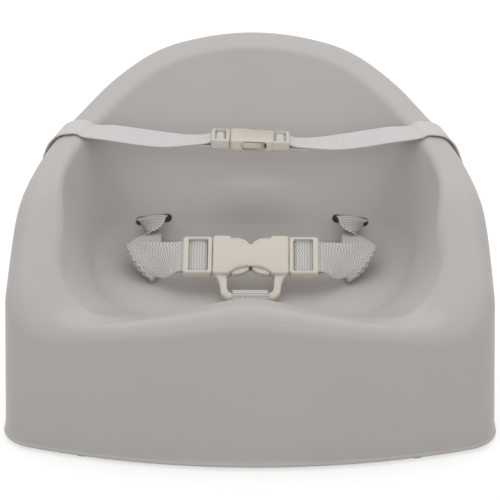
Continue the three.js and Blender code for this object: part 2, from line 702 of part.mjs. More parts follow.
function lapAnchor() {
  const [top, deep] = lapStrapLine;
  const bar = anchorBar(LAP_WEB).translate(top - wrapRadius(LAP_WEB), 0, deep);
  return toGeometry(toSolid(bar.applyMatrix4(lapSlotMatrix())));
}

// The crotch strap is a sewn loop round the buckle's bar above the pan and an anchor bar below it
function crotchStrap() {
  const inner = barRadius + 1.3;
  const outer = inner + LAP_WEB.thickness;
  const low = wrapRadius(LAP_WEB) - LAP_WEB.thickness / 2;
  const lowOuter = low + LAP_WEB.thickness;
  const lowZ = PAN_HEIGHT - WALL - ANCHOR_BAR.radius - 2 * FIT - pivotZ;
  const neck = 0.5;
  const outline = (high, below, waist, path) => {
    path.absarc(0, 0, high, radians(-35), radians(215), false);
    path.lineTo(-waist, -high - 0.6);
    path.lineTo(-waist, lowZ + below + 0.5);
    path.absarc(0, lowZ, below, radians(140), radians(400), false);
    path.lineTo(waist, lowZ + below + 0.5);
    path.lineTo(waist, -high - 0.6);
    return path;
  };
  const shape = outline(outer, lowOuter, neck + LAP_WEB.thickness, new THREE.Shape());
  shape.holes.push(outline(inner, low, neck, new THREE.Path()));
  const loop = new THREE.ExtrudeGeometry(shape, {
    depth: LAP_WEB.width, bevelEnabled: false, curveSegments: 16,
  });
  loop.translate(0, 0, -LAP_WEB.width / 2);
  loop.applyMatrix4(frameMatrix(vec(0, pivotY, pivotZ), vec(0, 1, 0), vec(0, 0, 1)));
  return toGeometry(toSolid(loop));
}

function crotchAnchor() {
  const z = PAN_HEIGHT - WALL - ANCHOR_BAR.radius - 2 * FIT;
  return toGeometry(toSolid(anchorBar(LAP_WEB).rotateZ(Math.PI / 2).translate(0, pivotY, z)));
}

// Buckle pieces

// Outline of the lap buckle's body with a waist notch above and below
function housingOutline() {
  const half = BUCKLE.width / 2;
  const low = BUCKLE.lift;
  const high = low + BUCKLE.height;
  const shape = new THREE.Shape();
  const r = 2.5;
  const n = BUCKLE.notchHalf;
  shape.moveTo(-half + r, low);
  shape.lineTo(-n - 3, low);
  shape.bezierCurveTo(-n + 3, low, -n + 3, low + BUCKLE.notch, 0, low + BUCKLE.notch);
  shape.bezierCurveTo(n - 3, low + BUCKLE.notch, n - 3, low, n + 3, low);
  shape.lineTo(half - r, low);
  shape.absarc(half - r, low + r, r, -Math.PI / 2, 0);
  shape.lineTo(half, high - r);
  shape.absarc(half - r, high - r, r, 0, Math.PI / 2);
  shape.lineTo(n + 3, high);
  shape.bezierCurveTo(n - 3, high, n - 3, high - BUCKLE.notch, 0, high - BUCKLE.notch);
  shape.bezierCurveTo(-n + 3, high - BUCKLE.notch, -n + 3, high, -n - 3, high);
  shape.lineTo(-half + r, high);
  shape.absarc(-half + r, high - r, r, Math.PI / 2, Math.PI);
  shape.lineTo(-half, low + r);
  shape.absarc(-half + r, low + r, r, Math.PI, 1.5 * Math.PI);
  return shape;
}

// The U of the crotch loop: outer edge and window
function loopOutline() {
  const top = BUCKLE.lift + 3;
  const w = LOOP.halfWidth;
  const r = LOOP.cornerRadius;
  const low = -barRadius;
  const shape = new THREE.Shape();
  shape.moveTo(-w - 1.5, top);
  shape.lineTo(-w, low + r);
  shape.absarc(-w + r, low + r, r, Math.PI, 1.5 * Math.PI);
  shape.lineTo(w - r, low);
  shape.absarc(w - r, low + r, r, -Math.PI / 2, 0);
  shape.lineTo(w + 1.5, top);
  shape.lineTo(w - LOOP.leg + 0.6, top);
  const window = w - LOOP.leg;
  const s = r - LOOP.leg + 1.5;
  shape.lineTo(window, barRadius + s);
  shape.absarc(window - s, barRadius + s, s, 0, -Math.PI / 2, true);
  shape.lineTo(-window + s, barRadius);
  shape.absarc(-window + s, barRadius + s, s, -Math.PI / 2, -Math.PI, true);
  shape.lineTo(-window - 0.6, top);
  return shape;
}

function buckleHousing() {
  const body = plate(housingOutline(), BUCKLE.thickness, 1.1);
  const loop = plate(loopOutline(), LOOP.thickness, 1.1);
  const half = BUCKLE.height / 2 - BUCKLE.wall;
  const deep = BUCKLE.thickness / 2 - BUCKLE.face;
  const reach = BUCKLE.width / 2 + 1;
  const tunnel = box([-reach, BUCKLE_MIDDLE - half, -deep], [reach, BUCKLE_MIDDLE + half, deep]);
  const n = BUCKLE.notchHalf;
  const tall = BUCKLE.height / 2 + 1;
  const windows = box([-n, BUCKLE_MIDDLE - tall, -deep], [n, BUCKLE_MIDDLE + tall, deep]);
  const solid = cut(toSolid(body), tunnel).add(toSolid(loop));
  const clear = box([-n, BUCKLE_MIDDLE - half, -deep], [n, BUCKLE_MIDDLE + half, deep]);
  return toGeometry(cut(solid, tunnel, clear, windows));
}

// The latch frame at +x: side rails, outer bar over the webbing, middle bar, inner bar and guide tongue
function latchFrame(size) {
  const { inner, outer, middle, rail, barX, barWidth } = size;
  const half = size.height / 2;
  const open = half - rail;
  const innerEnd = inner + size.innerBar;
  const outerStart = outer - size.outerBar;
  const rim = roundedRect([inner, middle - half], [outer, middle + half], 2.2);
  const frame = plate(rim, size.thickness, 0.8, 3);
  const window = box([innerEnd, middle - open, -size.thickness], [outerStart, middle + open, size.thickness]);
  const underBar = box(
    [outerStart - 1, middle - open, -size.thickness],
    [outer + 1, middle + open, size.barClear],
  );
  const barLow = [barX - barWidth / 2, middle - half + rail / 2, -size.barThick];
  const bar = box(barLow, [barX + barWidth / 2, middle + half - rail / 2, 0]);
  const tongueLow = [inner - size.tongueLength, middle - size.tongueWidth / 2];
  const tonguePlan = roundedRect(tongueLow, [inner + 1, middle + size.tongueWidth / 2], 1);
  const tongue = plate(tonguePlan, size.tongueThick, 0.5, 3);
  return toGeometry(cut(toSolid(frame), window, underBar).add(toSolid(bar)).add(toSolid(tongue)));
}

// Mirror image in x with its faces kept outward
function mirrored(geometry) {
  const copy = geometry.clone().scale(-1, 1, 1);
  const index = Array.from(copy.index.array);
  for (let i = 0; i < index.length; i += 3) [index[i + 1], index[i + 2]] = [index[i + 2], index[i + 1]];
  copy.setIndex(index);
  return copy;
}

// A sprung arm: a slim beam from the frame, a shoulder that catches the body's wall, and a thumb pad
function armOutline(root, tip, shoulder, base, wallInside, padOut) {
  const shape = new THREE.Shape();
  const beamTop = wallInside - 0.5;
  shape.moveTo(root, beamTop);
  shape.lineTo(shoulder, beamTop);
  shape.lineTo(shoulder, wallInside + padOut * 0.75);
  const crown = wallInside + padOut;
  shape.bezierCurveTo(shoulder - 1, crown, tip + 3, crown, tip, wallInside + padOut * 0.2);
  shape.lineTo(tip, beamTop - base - 0.6);
  shape.lineTo(tip + 3, beamTop - base - 1.2);
  shape.lineTo(shoulder, beamTop - base);
  shape.lineTo(root, beamTop - base);
  return shape;
}

// The upper arm of the latch at +x
function lapArm() {
  const wallInside = BUCKLE.height / 2 - BUCKLE.wall - FIT;
  const shoulder = BUCKLE.notchHalf - FIT;
  const outline = armOutline(latchInnerX - FIT, ARM.tipGap / 2, shoulder, ARM.beam, wallInside, ARM.pad);
  return toGeometry(toSolid(plate(outline, ARM.thickness, 0.5, 4)));
}

// Mirror image across the plane y = 0
function flippedY(geometry) {
  return mirrored(geometry.clone().rotateZ(Math.PI));
}

// Chair strap buckle

// Frame of the chair buckle; the roll lowers its +x end
function clipFrame(rollDeg) {
  return new THREE.Matrix4()
    .makeRotationY(radians(rollDeg))
    .multiply(new THREE.Matrix4().makeRotationX(radians(CLIP_PLACE.tiltDeg)))
    .setPosition(vec(0, DEPTH / 2 - CLIP_PLACE.fromRear, CLIP_PLACE.height));
}

const clipHalf = CLIP.body / 2;
const clipBar = { barWidth: 3, barThick: 1.6, barClear: CHAIR_WEB.thickness, outerBar: CLIP_LATCH.outerBar };
const clipTail = {
  ...clipBar, outer: clipHalf + CLIP.tail, barX: clipHalf + (CLIP.tail - CLIP_LATCH.outerBar) / 2,
};
const clipLatchSize = {
  ...clipBar, inner: clipHalf + FIT, outer: clipHalf + FIT + CLIP_LATCH.length, middle: 0,
  height: CLIP.height - 1.4, thickness: CLIP.thickness - 1,
  rail: CLIP_LATCH.rail, innerBar: CLIP_LATCH.innerBar,
  barX: clipHalf + FIT + (CLIP_LATCH.length + CLIP_LATCH.innerBar - CLIP_LATCH.outerBar) / 2,
  tongueLength: 17, tongueWidth: 6.4, tongueThick: 2.6,
};

// The female clip: a tunnel body with side windows, and a webbing frame on its +x end
function chairBuckle() {
  const half = CLIP.height / 2;
  const deep = CLIP.thickness / 2 - CLIP.face;
  const inside = half - CLIP.wall;
  const { outer, outerBar, barX, barWidth, barThick, barClear } = clipTail;
  const body = plate(roundedRect([-clipHalf, -half], [clipHalf, half], 3), CLIP.thickness, 1.2);
  const tailPlan = roundedRect([clipHalf - 4, -half + 1.2], [outer, half - 1.2], 2);
  const tail = plate(tailPlan, CLIP.thickness - 1.2, 0.8);
  const tunnel = box([-clipHalf - 1, -inside, -deep], [clipHalf - 3, inside, deep]);
  const windows = box([CLIP.window[0], -half - 1, -deep], [CLIP.window[1], half + 1, deep]);
  const gap = half - 1.2 - CLIP_LATCH.rail;
  const slot = box([clipHalf, -gap, -CLIP.thickness], [outer - outerBar, gap, CLIP.thickness]);
  const under = box([outer - outerBar - 1, -gap, -CLIP.thickness], [outer + 1, gap, barClear]);
  const bar = box([barX - barWidth / 2, -gap - 1, -barThick], [barX + barWidth / 2, gap + 1, 0]);
  return toGeometry(cut(joined(body, tail), tunnel, windows, slot, under).add(toSolid(bar)));
}

// The rear arm of the chair latch
function clipArm() {
  const wallInside = CLIP.height / 2 - CLIP.wall - FIT;
  const shoulder = -CLIP.window[0] - FIT;
  const outline = armOutline(clipHalf, 1 - CLIP.window[1], shoulder, 2.3, wallInside, 2);
  return mirrored(toGeometry(toSolid(plate(outline, 4.2, 0.5, 4))));
}

// Chair strap

// Middle of the anchor bar inside the wall, in the frame of its slot
const chairAnchorDepth = -(WALL + ANCHOR_BAR.radius + 2 * WEB_FIT + 1);

// Edge pairs that run up outside the wall from the slot and over the crest, on the left
function overWallEdges(slot) {
  const [section, before, after] = [0, -2, 2].map((turn) => shellSection(CHAIR_SLOT.angle + turn));
  const slotZ = slot.elements[14];
  const rows = [];
  for (let j = 1; j <= CREST_INDEX + 1; j += 1) {
    if (section[j].z > slotZ + 14) rows.push(j);
  }
  const clear = CHAIR_WEB.thickness / 2 + 1;
  return rows.map((j) => {
    const across = before[j].clone().sub(after[j]);
    const along = section[j + 1].clone().sub(section[j - 1]).normalize();
    across.addScaledVector(along, -across.dot(along)).normalize();
    const normal = along.clone().cross(across);
    const level = (section[j].z - slotZ) / (section[CREST_INDEX].z - slotZ);
    const bow = CHAIR_STRAP_BOW * Math.sin(Math.PI * THREE.MathUtils.clamp(level, 0, 1)) ** 2;
    const point = section[j].clone().addScaledVector(normal, clear).add(vec(bow, 0, 0));
    return [-1, 1].map((end) => {
      const edge = point.clone().addScaledVector(across, (end * CHAIR_WEB.width) / 2);
      return vec(-edge.x, edge.y, edge.z);
    });
  });
}

// Edge pairs across the backrest, from the rim to the buckle. The webbing keeps its own tilt for most of the
// way and turns to the buckle's at the end.
function hungEdges(from, to) {
  const middle = ([a, b]) => a.clone().add(b).multiplyScalar(0.5);
  const widthOf = ([a, b]) => b.clone().sub(a).multiplyScalar(0.5);
  const tilt = radians(CHAIR_WEB_TILT_DEG);
  const level = vec(0, -Math.cos(tilt), -Math.sin(tilt)).multiplyScalar(CHAIR_WEB.width / 2);
  return [0.2, 0.42, 0.64, 0.84].map((t) => {
    const sag = -CLIP_SAG * Math.sin(Math.PI * t) * t;
    const centre = middle(from).lerp(middle(to), t).add(vec(0, 0, sag));
    const first = widthOf(from).lerp(level, Math.min(1, t / 0.3));
    const turned = THREE.MathUtils.smoothstep(t, 0.5, 1);
    const half = first.lerp(widthOf(to), turned).setLength(CHAIR_WEB.width / 2);
    return [centre.clone().sub(half), centre.clone().add(half)];
  });
}

// Half of the chair strap, on the left: round its anchor bar, out through the slot, up outside the wall with
// a slack bow, over the rim and across to the buckle
function chairStrap(endPoints, rollDeg) {
  const slot = chairSlotMatrix();
  const radius = wrapRadius(CHAIR_WEB);
  const hook = wrapPoints([chairAnchorDepth, -radius], radius, 270, 90, 8);
  const rootPoints = [[chairAnchorDepth + 3.4, -2 * radius], ...hook, [chairAnchorDepth + 3, 0], [2, 0]];
  const root = planarEdges(rootPoints, CHAIR_WEB.width, slot);
  const outside = overWallEdges(slot);
  const rearFirst = ([front, rear]) => [rear, front];
  const onBuckle = endPoints.map(([x, z]) => [-x, z]);
  const end = planarEdges(onBuckle, CHAIR_WEB.width, clipFrame(rollDeg)).map(rearFirst);
  const hung = hungEdges(outside[outside.length - 1], end[0]);
  const path = smoothEdges([root[root.length - 1], ...outside, ...hung, end[0], end[1]], 44);
  return ribbon([...root, ...path.slice(1), ...end.slice(2)], CHAIR_WEB.thickness);
}

function chairAnchor() {
  const bar = anchorBar(CHAIR_WEB).translate(chairAnchorDepth, 0, -wrapRadius(CHAIR_WEB));
  return toGeometry(toSolid(bar.applyMatrix4(chairSlotMatrix())));
}

// Assembly

const booster = new THREE.Group();

function place(parent, name, geometry, material) {
  const mesh = new THREE.Mesh(geometry, material);
  mesh.name = name;
  parent.add(mesh);
  return mesh;
}

place(booster, 'seat_shell', toGeometry(seatShell()), shellMaterial);
for (const { name, x, y } of footPlaces()) {
  place(booster, name, footGeometry(), footMaterial).position.set(x, y, 0);
}

function placePair(parent, name, left, material) {
  place(parent, name('left'), left, material);
  place(parent, name('right'), mirrored(left), material);
}

placePair(booster, (side) => `lap_belt_${side}`, lapBelt(), webbingMaterial);
placePair(booster, (side) => `lap_anchor_${side}`, lapAnchor(), anchorMaterial);
const latchStrap = chairStrap(latchEndPoints(clipLatchSize, CHAIR_WEB, 8), CLIP_PLACE.rollDeg);
const tailStrap = chairStrap(latchEndPoints(clipTail, CHAIR_WEB, 14), -CLIP_PLACE.rollDeg);
place(booster, 'chair_strap_left', latchStrap, webbingMaterial);
place(booster, 'chair_strap_right', mirrored(tailStrap), webbingMaterial);
placePair(booster, (side) => `chair_anchor_${side}`, chairAnchor(), anchorMaterial);
place(booster, 'crotch_strap', crotchStrap(), webbingMaterial);
place(booster, 'crotch_anchor', crotchAnchor(), anchorMaterial);

const lapBuckle = new THREE.Group();
lapBuckle.applyMatrix4(buckleMatrix);
booster.add(lapBuckle);
place(lapBuckle, 'buckle_housing', buckleHousing(), buckleMaterial);
placePair(lapBuckle, (side) => `latch_${side}`, mirrored(latchFrame(lapLatchSize)), buckleMaterial);
const upperArm = mirrored(lapArm());
const toMiddle = (geometry) => geometry.translate(0, BUCKLE_MIDDLE, 0);
placePair(lapBuckle, (side) => `latch_${side}_arm_upper`, toMiddle(upperArm.clone()), buckleMaterial);
placePair(lapBuckle, (side) => `latch_${side}_arm_lower`, toMiddle(flippedY(upperArm)), buckleMaterial);

const chairClip = new THREE.Group();
chairClip.applyMatrix4(clipFrame(CLIP_PLACE.rollDeg));
booster.add(chairClip);
place(chairClip, 'chair_buckle', chairBuckle(), buckleMaterial);
place(chairClip, 'chair_latch', mirrored(latchFrame(clipLatchSize)), buckleMaterial);
place(chairClip, 'chair_latch_arm_rear', clipArm(), buckleMaterial);
place(chairClip, 'chair_latch_arm_front', flippedY(clipArm()), buckleMaterial);

export default booster;
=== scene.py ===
"""A child's chair booster seat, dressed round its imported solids.

One moulded shell on four grip feet, a lap harness with a three-way side-release buckle, and a chair strap
with a small side-release buckle. Sizes are in millimetres in the frame of the solids (+Z up, the child faces
-Y) and turn to metres where a mesh is made.
"""

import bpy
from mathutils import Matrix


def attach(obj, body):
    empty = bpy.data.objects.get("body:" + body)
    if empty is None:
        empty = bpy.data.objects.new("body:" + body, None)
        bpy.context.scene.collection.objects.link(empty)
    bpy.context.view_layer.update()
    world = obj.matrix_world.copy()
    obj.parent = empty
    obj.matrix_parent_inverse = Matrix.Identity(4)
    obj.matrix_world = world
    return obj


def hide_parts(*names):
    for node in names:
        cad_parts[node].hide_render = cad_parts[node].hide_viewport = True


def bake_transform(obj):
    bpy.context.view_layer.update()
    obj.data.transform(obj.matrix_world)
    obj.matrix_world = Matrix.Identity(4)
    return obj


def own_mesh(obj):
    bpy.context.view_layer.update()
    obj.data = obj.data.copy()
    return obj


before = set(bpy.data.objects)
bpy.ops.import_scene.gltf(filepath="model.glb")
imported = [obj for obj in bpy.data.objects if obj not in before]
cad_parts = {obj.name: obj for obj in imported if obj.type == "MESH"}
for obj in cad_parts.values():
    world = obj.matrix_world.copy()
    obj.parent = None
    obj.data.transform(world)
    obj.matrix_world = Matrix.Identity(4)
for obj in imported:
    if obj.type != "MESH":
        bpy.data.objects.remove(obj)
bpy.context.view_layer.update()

import logging
import math
from dataclasses import dataclass, field
from enum import Enum

import bpy
import numpy as np
from mathutils import Vector

log = logging.getLogger("booster")

MM = 0.001
SHARP_DEGREES = 35.0  # edges that turn more than this stay sharp in the shading
BEVEL_DEGREES = 40.0  # edges that turn more than this are rounded by soften
CUT_BEVEL = 0.01  # bevel of a cutting plate, which is as good as none
THREAD = 1  # number of the thread among a strap's finishes
Array = np.ndarray


class Side(Enum):
    """The two sides of the seat; the value is the sign of x."""

    LEFT = -1
    RIGHT = 1

    @property
    def label(self) -> str:
        """The side's name as the pieces carry it."""
        return self.name.lower()


class Body(Enum):
    """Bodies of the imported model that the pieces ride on."""

    SEAT = "seat"
    LAP_BUCKLE = "lap_buckle"
    CHAIR_LATCH = "chair_latch_body"
    ARM_REAR = "chair_arm_rear"
    ARM_FRONT = "chair_arm_front"


class Slot(Enum):
    """Material slots of the record."""

    SHELL = "shell"
    BUCKLE = "buckle"
    WEBBING = "webbing"
    FOOT = "foot"
    ANCHOR = "anchor"


# ---- curves and frames


def smooth_at(keys: Array, values: Array, at: Array) -> Array:
    """Carry a monotone cubic curve through key values.

    Each stretch is a Hermite cubic whose end slopes are the weighted harmonic mean of the slopes on both
    sides, or zero where these differ in sign, so the curve never passes beyond its keys.

    Args:
        keys: rising places of the keys.
        values: value at each key.
        at: places asked for.

    Returns:
        The values at those places.
    """
    keys, values = np.asarray(keys, float), np.asarray(values, float)
    place = np.clip(np.asarray(at, float), keys[0], keys[-1])
    step = np.diff(keys)
    slope = np.diff(values) / step
    before, after = slope[:-1], slope[1:]
    first, second = 2 * step[1:] + step[:-1], step[1:] + 2 * step[:-1]
    same = before * after > 0
    safe_before, safe_after = np.where(same, before, 1.0), np.where(same, after, 1.0)
    tangent = np.zeros_like(values)
    tangent[1:-1] = np.where(same, (first + second) / (first / safe_before + second / safe_after), 0.0)
    i = np.clip(np.searchsorted(keys, place, side="left") - 1, 0, len(step) - 1)
    t = (place - keys[i]) / step[i]
    rise = t * t * (3 - 2 * t)
    start = t * (1 - t) ** 2 * step[i] * tangent[i]
    end = t * t * (1 - t) * step[i] * tangent[i + 1]
    return values[i] + (values[i + 1] - values[i]) * rise + start - end


def eased_at(keys: Array, values: Array, at: Array, spread: float) -> Array:
    """Read a key curve round the bowl after a bell-shaped average has eased its joints.

    The curve from 0 to 180 degrees is mirrored at both ends, sampled every quarter degree and averaged
    with weights exp(-d^2 / 2 spread^2).

    Args:
        keys: angles of the keys in degrees.
        values: value at each key.
        at: angles asked for.
        spread: width of the bell in degrees.

    Returns:
        The eased values.
    """
    fine = np.arange(-40.0, 220.0, 0.25)
    folded = np.where(fine < 0, -fine, np.where(fine > 180, 360 - fine, fine))
    reach = np.arange(-4 * spread, 4 * spread + 0.1, 0.25)
    bell = np.exp(-0.5 * (reach / spread) ** 2)
    wide = np.convolve(smooth_at(keys, values, folded), bell / bell.sum(), mode="same")
    return np.interp(at, fine, wide)


def unit(vectors: Array) -> Array:
    """Vectors scaled to length one along their last axis."""
    return vectors / np.maximum(np.linalg.norm(vectors, axis=-1, keepdims=True), 1e-12)


def catmull_rom(points: Array, count: int) -> Array:
    """Carry a centripetal Catmull-Rom curve through points.

    Each stretch is a Hermite cubic; its end slopes come from neighbours spaced by the square root of their
    distance. The ends reach on in a straight line.

    Args:
        points: (n, ...) stations; further axes hold coordinates.
        count: number of samples, even in station number.

    Returns:
        (count, ...) samples.
    """
    flat = points.reshape(len(points), -1, 3)
    padded = np.concatenate([[2 * flat[0] - flat[1]], flat, [2 * flat[-1] - flat[-2]]])
    at = np.linspace(0, len(flat) - 1, count)
    i = np.minimum(at.astype(int), len(flat) - 2)
    t = (at - i)[:, None, None]
    p0, p1, p2, p3 = (padded[i + k] for k in range(4))
    d0, d1, d2 = (
        np.maximum(np.linalg.norm(b - a, axis=-1, keepdims=True) ** 0.5, 1e-4)
        for a, b in ((p0, p1), (p1, p2), (p2, p3))
    )
    m1 = d1 * ((p1 - p0) / d0 - (p2 - p0) / (d0 + d1) + (p2 - p1) / d1)
    m2 = d1 * ((p2 - p1) / d1 - (p3 - p1) / (d1 + d2) + (p3 - p2) / d2)
    curve = (2 * p1 - 2 * p2 + m1 + m2) * t**3 + (-3 * p1 + 3 * p2 - 2 * m1 - m2) * t**2 + m1 * t + p1
    return curve.reshape((count,) + points.shape[1:])


def wrap_points(centre: tuple[float, float], radius: float, start: float, end: float, steps: int) -> Array:
    """Points on an arc about a bar, centre plus radius times (cos, sin), from one angle to another.

    Args:
        centre: centre in the plane of the arc.
        radius: radius of the webbing's centre line.
        start: first angle in degrees.
        end: last angle in degrees.
        steps: number of steps.

    Returns:
        (steps + 1, 2) points.
    """
    turn = np.radians(np.linspace(start, end, steps + 1))
    return np.stack([centre[0] + radius * np.cos(turn), centre[1] + radius * np.sin(turn)], axis=1)


@dataclass(frozen=True)
class Frame:
    """A place with its own axes: origin and unit x, y and z axes, in the seat's frame."""

    origin: Array
    x: Array
    y: Array
    z: Array

    @classmethod
    def from_axes(cls, origin: Array, x_axis: Array, y_hint: Array) -> "Frame":
        """Frame with a given x axis and a y axis as near as can be to a hint.

        Args:
            origin: place of the frame.
            x_axis: direction of x.
            y_hint: rough direction of y.

        Returns:
            The frame.
        """
        x = unit(np.asarray(x_axis, float))
        z = unit(np.cross(x, np.asarray(y_hint, float)))
        return cls(np.asarray(origin, float), x, np.cross(z, x), z)

    @classmethod
    def tilted(cls, origin: Array, degrees: float, roll: float = 0.0) -> "Frame":
        """Frame turned about the seat's x axis and then rolled about its y axis, which lowers its +x end."""
        c, s = math.cos(math.radians(degrees)), math.sin(math.radians(degrees))
        rc, rs = math.cos(math.radians(roll)), math.sin(math.radians(roll))
        axes = ([rc, 0, -rs], [s * rs, c, s * rc], [c * rs, -s, c * rc])
        return cls(np.asarray(origin, float), *(np.array(axis) for axis in axes))

    def place(self, points: Array) -> Array:
        """Points of the frame, in the seat's frame: origin plus x, y and z shares of the axes."""
        points = np.asarray(points, float)
        return self.origin + points[..., :1] * self.x + points[..., 1:2] * self.y + points[..., 2:3] * self.z


# ---- meshes


@dataclass
class Skin:
    """Vertices with their faces, before they become a mesh.

    Attributes:
        points: (n, 3) places in mm.
        faces: lists of vertex numbers, outward by the right-hand rule.
        uv: (n, 2) pattern coordinates in mm, or None.
        finish: number of the finish among the object's materials.
    """

    points: Array
    faces: list
    uv: Array | None = None
    finish: int = 0

    def mirrored(self) -> "Skin":
        """The same skin mirrored in x, faces still outward."""
        return Skin(self.points * [-1, 1, 1], [f[::-1] for f in self.faces], self.uv, self.finish)

    def placed(self, where: Frame) -> "Skin":
        """The same skin carried into a frame."""
        return Skin(where.place(self.points), self.faces, self.uv, self.finish)


def grid_faces(rows: int, columns: int) -> Array:
    """Quads between neighbouring closed rings of points, as (m, 4) vertex numbers."""
    row = np.arange(rows - 1)[:, None] * columns
    here = np.arange(columns)[None, :]
    there = (here + 1) % columns
    return np.stack([row + here, row + there, row + columns + there, row + columns + here], -1).reshape(-1, 4)


def tube_skin(rings: Array, uv: Array | None = None, capped: bool = True, finish: int = 0) -> Skin:
    """A skin over closed rings, one after another, each end closed by a flat face.

    Args:
        rings: (n, k, 3) rings of points.
        uv: (n, k, 2) pattern coordinates, or None.
        capped: whether the ends are closed.
        finish: number of the finish.

    Returns:
        The skin.
    """
    rows, columns = rings.shape[:2]
    faces = grid_faces(rows, columns).tolist()
    if capped:
        faces.append(list(range(columns))[::-1])
        faces.append([(rows - 1) * columns + i for i in range(columns)])
    return Skin(rings.reshape(-1, 3), faces, None if uv is None else uv.reshape(-1, 2), finish)


def lathe_skin(profile: Array, sides: int) -> Skin:
    """A profile turned about the z axis: each (r, z) becomes a ring (r cos a, r sin a, z).

    Args:
        profile: (n, 2) radius and height; first and last lie on the axis.
        sides: number of points round.

    Returns:
        A closed skin.
    """
    turn = np.linspace(0, 2 * math.pi, sides, endpoint=False)
    inner = profile[1:-1]
    rings = np.stack(
        [inner[:, :1] * np.cos(turn), inner[:, :1] * np.sin(turn), inner[:, 1:] + 0 * turn], axis=-1
    )
    points = np.concatenate([rings.reshape(-1, 3), [[0, 0, profile[0, 1]], [0, 0, profile[-1, 1]]]])
    faces = grid_faces(len(inner), sides).tolist()
    first, last, top = len(points) - 2, len(points) - 1, (len(inner) - 1) * sides
    faces += [[first, (i + 1) % sides, i] for i in range(sides)]
    faces += [[last, top + i, top + (i + 1) % sides] for i in range(sides)]
    return Skin(points, faces)


def plate_skin(outline: Array, low: float, high: float, bevel: float, steps: int = 3) -> Skin:
    """A plate over a closed outline, its long edges rounded.

    Each ring is the outline drawn in by bevel (1 - cos a) along the mean normal of its two edges while z
    rises by bevel sin a, for a from 0 to 90 degrees at the top and the same at the bottom.

    Args:
        outline: (n, 2) points, anticlockwise, not closed.
        low: z of the under face.
        high: z of the upper face.
        bevel: radius of the edges.
        steps: steps in each rounded edge.

    Returns:
        A closed skin.
    """
    before = unit(outline - np.roll(outline, 1, axis=0))
    after = unit(np.roll(outline, -1, axis=0) - outline)
    normal = np.stack([before[:, 1] + after[:, 1], -before[:, 0] - after[:, 0]], axis=1)
    normal = 2 * normal / np.maximum((normal**2).sum(axis=1, keepdims=True), 1.0)
    a = np.linspace(0, math.pi / 2, steps + 1)
    inset = np.concatenate([bevel * (1 - np.cos(a[::-1])), bevel * (1 - np.cos(a))])
    height = np.concatenate([low + bevel * (1 - np.sin(a[::-1])), high - bevel * (1 - np.sin(a))])
    flat = outline[None] - inset[:, None, None] * normal[None]
    rings = np.concatenate([flat, np.broadcast_to(height[:, None, None], flat.shape[:2] + (1,))], axis=-1)
    return tube_skin(rings)


def box_skin(low: tuple, high: tuple) -> Skin:
    """A plain block between two corners, as a cutting tool."""
    (x0, y0, z0), (x1, y1, z1) = low, high
    ring = np.array([[x0, y0], [x1, y0], [x1, y1], [x0, y1]], float)
    return tube_skin(np.stack([np.insert(ring, 2, z, axis=1) for z in (z0, z1)]))


def rounded_rect(low: tuple, high: tuple, radius: float, steps: int = 6) -> Array:
    """Outline of a rectangle with round corners, anticlockwise: corner centres plus radius (cos, sin).

    Args:
        low: lower left corner.
        high: upper right corner.
        radius: corner radius.
        steps: steps in each corner.

    Returns:
        (4 (steps + 1), 2) points.
    """
    (x0, y0), (x1, y1) = low, high
    left, right, low_y, high_y = x0 + radius, x1 - radius, y0 + radius, y1 - radius
    centres = [(right, low_y), (right, high_y), (left, high_y), (left, low_y)]
    arcs = [wrap_points(c, radius, -90 + 90 * k, 90 * k, steps) for k, c in enumerate(centres)]
    return np.concatenate(arcs)


def bezier(p0: tuple, p1: tuple, p2: tuple, p3: tuple, steps: int) -> Array:
    """Points of a cubic Bezier curve without its last one: weights (1-t)^3, 3t(1-t)^2, 3t^2(1-t), t^3."""
    t = np.linspace(0, 1, steps, endpoint=False)[:, None]
    pulls = 3 * t * (1 - t) ** 2 * np.array(p1) + 3 * t * t * (1 - t) * np.array(p2)
    return (1 - t) ** 3 * p0 + pulls + t**3 * p3


def new_object(name: str, skins: list[Skin], materials: list | tuple = ()) -> bpy.types.Object:
    """Make one mesh object of skins, in metres, smooth except at sharp edges.

    Args:
        name: name of the piece.
        skins: skins that it holds.
        materials: its materials, in the order of their finish numbers; a tool has none.

    Returns:
        The object.
    """
    mesh = bpy.data.meshes.new(name)
    faces, finishes, start = [], [], 0
    for skin in skins:
        faces += [[start + v for v in f] for f in skin.faces]
        finishes += [skin.finish] * len(skin.faces)
        start += len(skin.points)
    points = np.concatenate([skin.points for skin in skins]) * MM
    mesh.from_pydata(points.tolist(), [], faces)
    mesh.polygons.foreach_set("material_index", np.array(finishes, np.int32))
    if any(skin.uv is not None for skin in skins):
        at = np.concatenate([np.zeros((len(s.points), 2)) if s.uv is None else s.uv for s in skins])
        corners = np.empty(len(mesh.loops), np.int32)
        mesh.loops.foreach_get("vertex_index", corners)
        mesh.uv_layers.new(name="weave").data.foreach_set("uv", at[corners].astype(np.float32).ravel())
    for material in materials:
        mesh.materials.append(material)
    finish_mesh(mesh)
    piece = bpy.data.objects.new(name, mesh)
    bpy.context.scene.collection.objects.link(piece)
    return piece


def tool(skin: Skin) -> bpy.types.Object:
    """A closed skin as a tool that is cut out of a piece or joined to it."""
    return new_object("tool", [skin])


def block(where: Frame, low: tuple, high: tuple) -> bpy.types.Object:
    """A cutting block between two corners in a frame."""
    return tool(box_skin(low, high).placed(where))


def finished(piece: bpy.types.Object, material: bpy.types.Material) -> bpy.types.Object:
    """The piece, with a material as its only one."""
    piece.data.materials.clear()
    piece.data.materials.append(material)
    return piece


def finish_mesh(mesh: bpy.types.Mesh) -> None:
    """Shade a mesh smooth between its sharp edges."""
    mesh.polygons.foreach_set("use_smooth", np.ones(len(mesh.polygons), bool))
    mesh.set_sharp_from_angle(angle=math.radians(SHARP_DEGREES))
    mesh.validate()
    mesh.update()


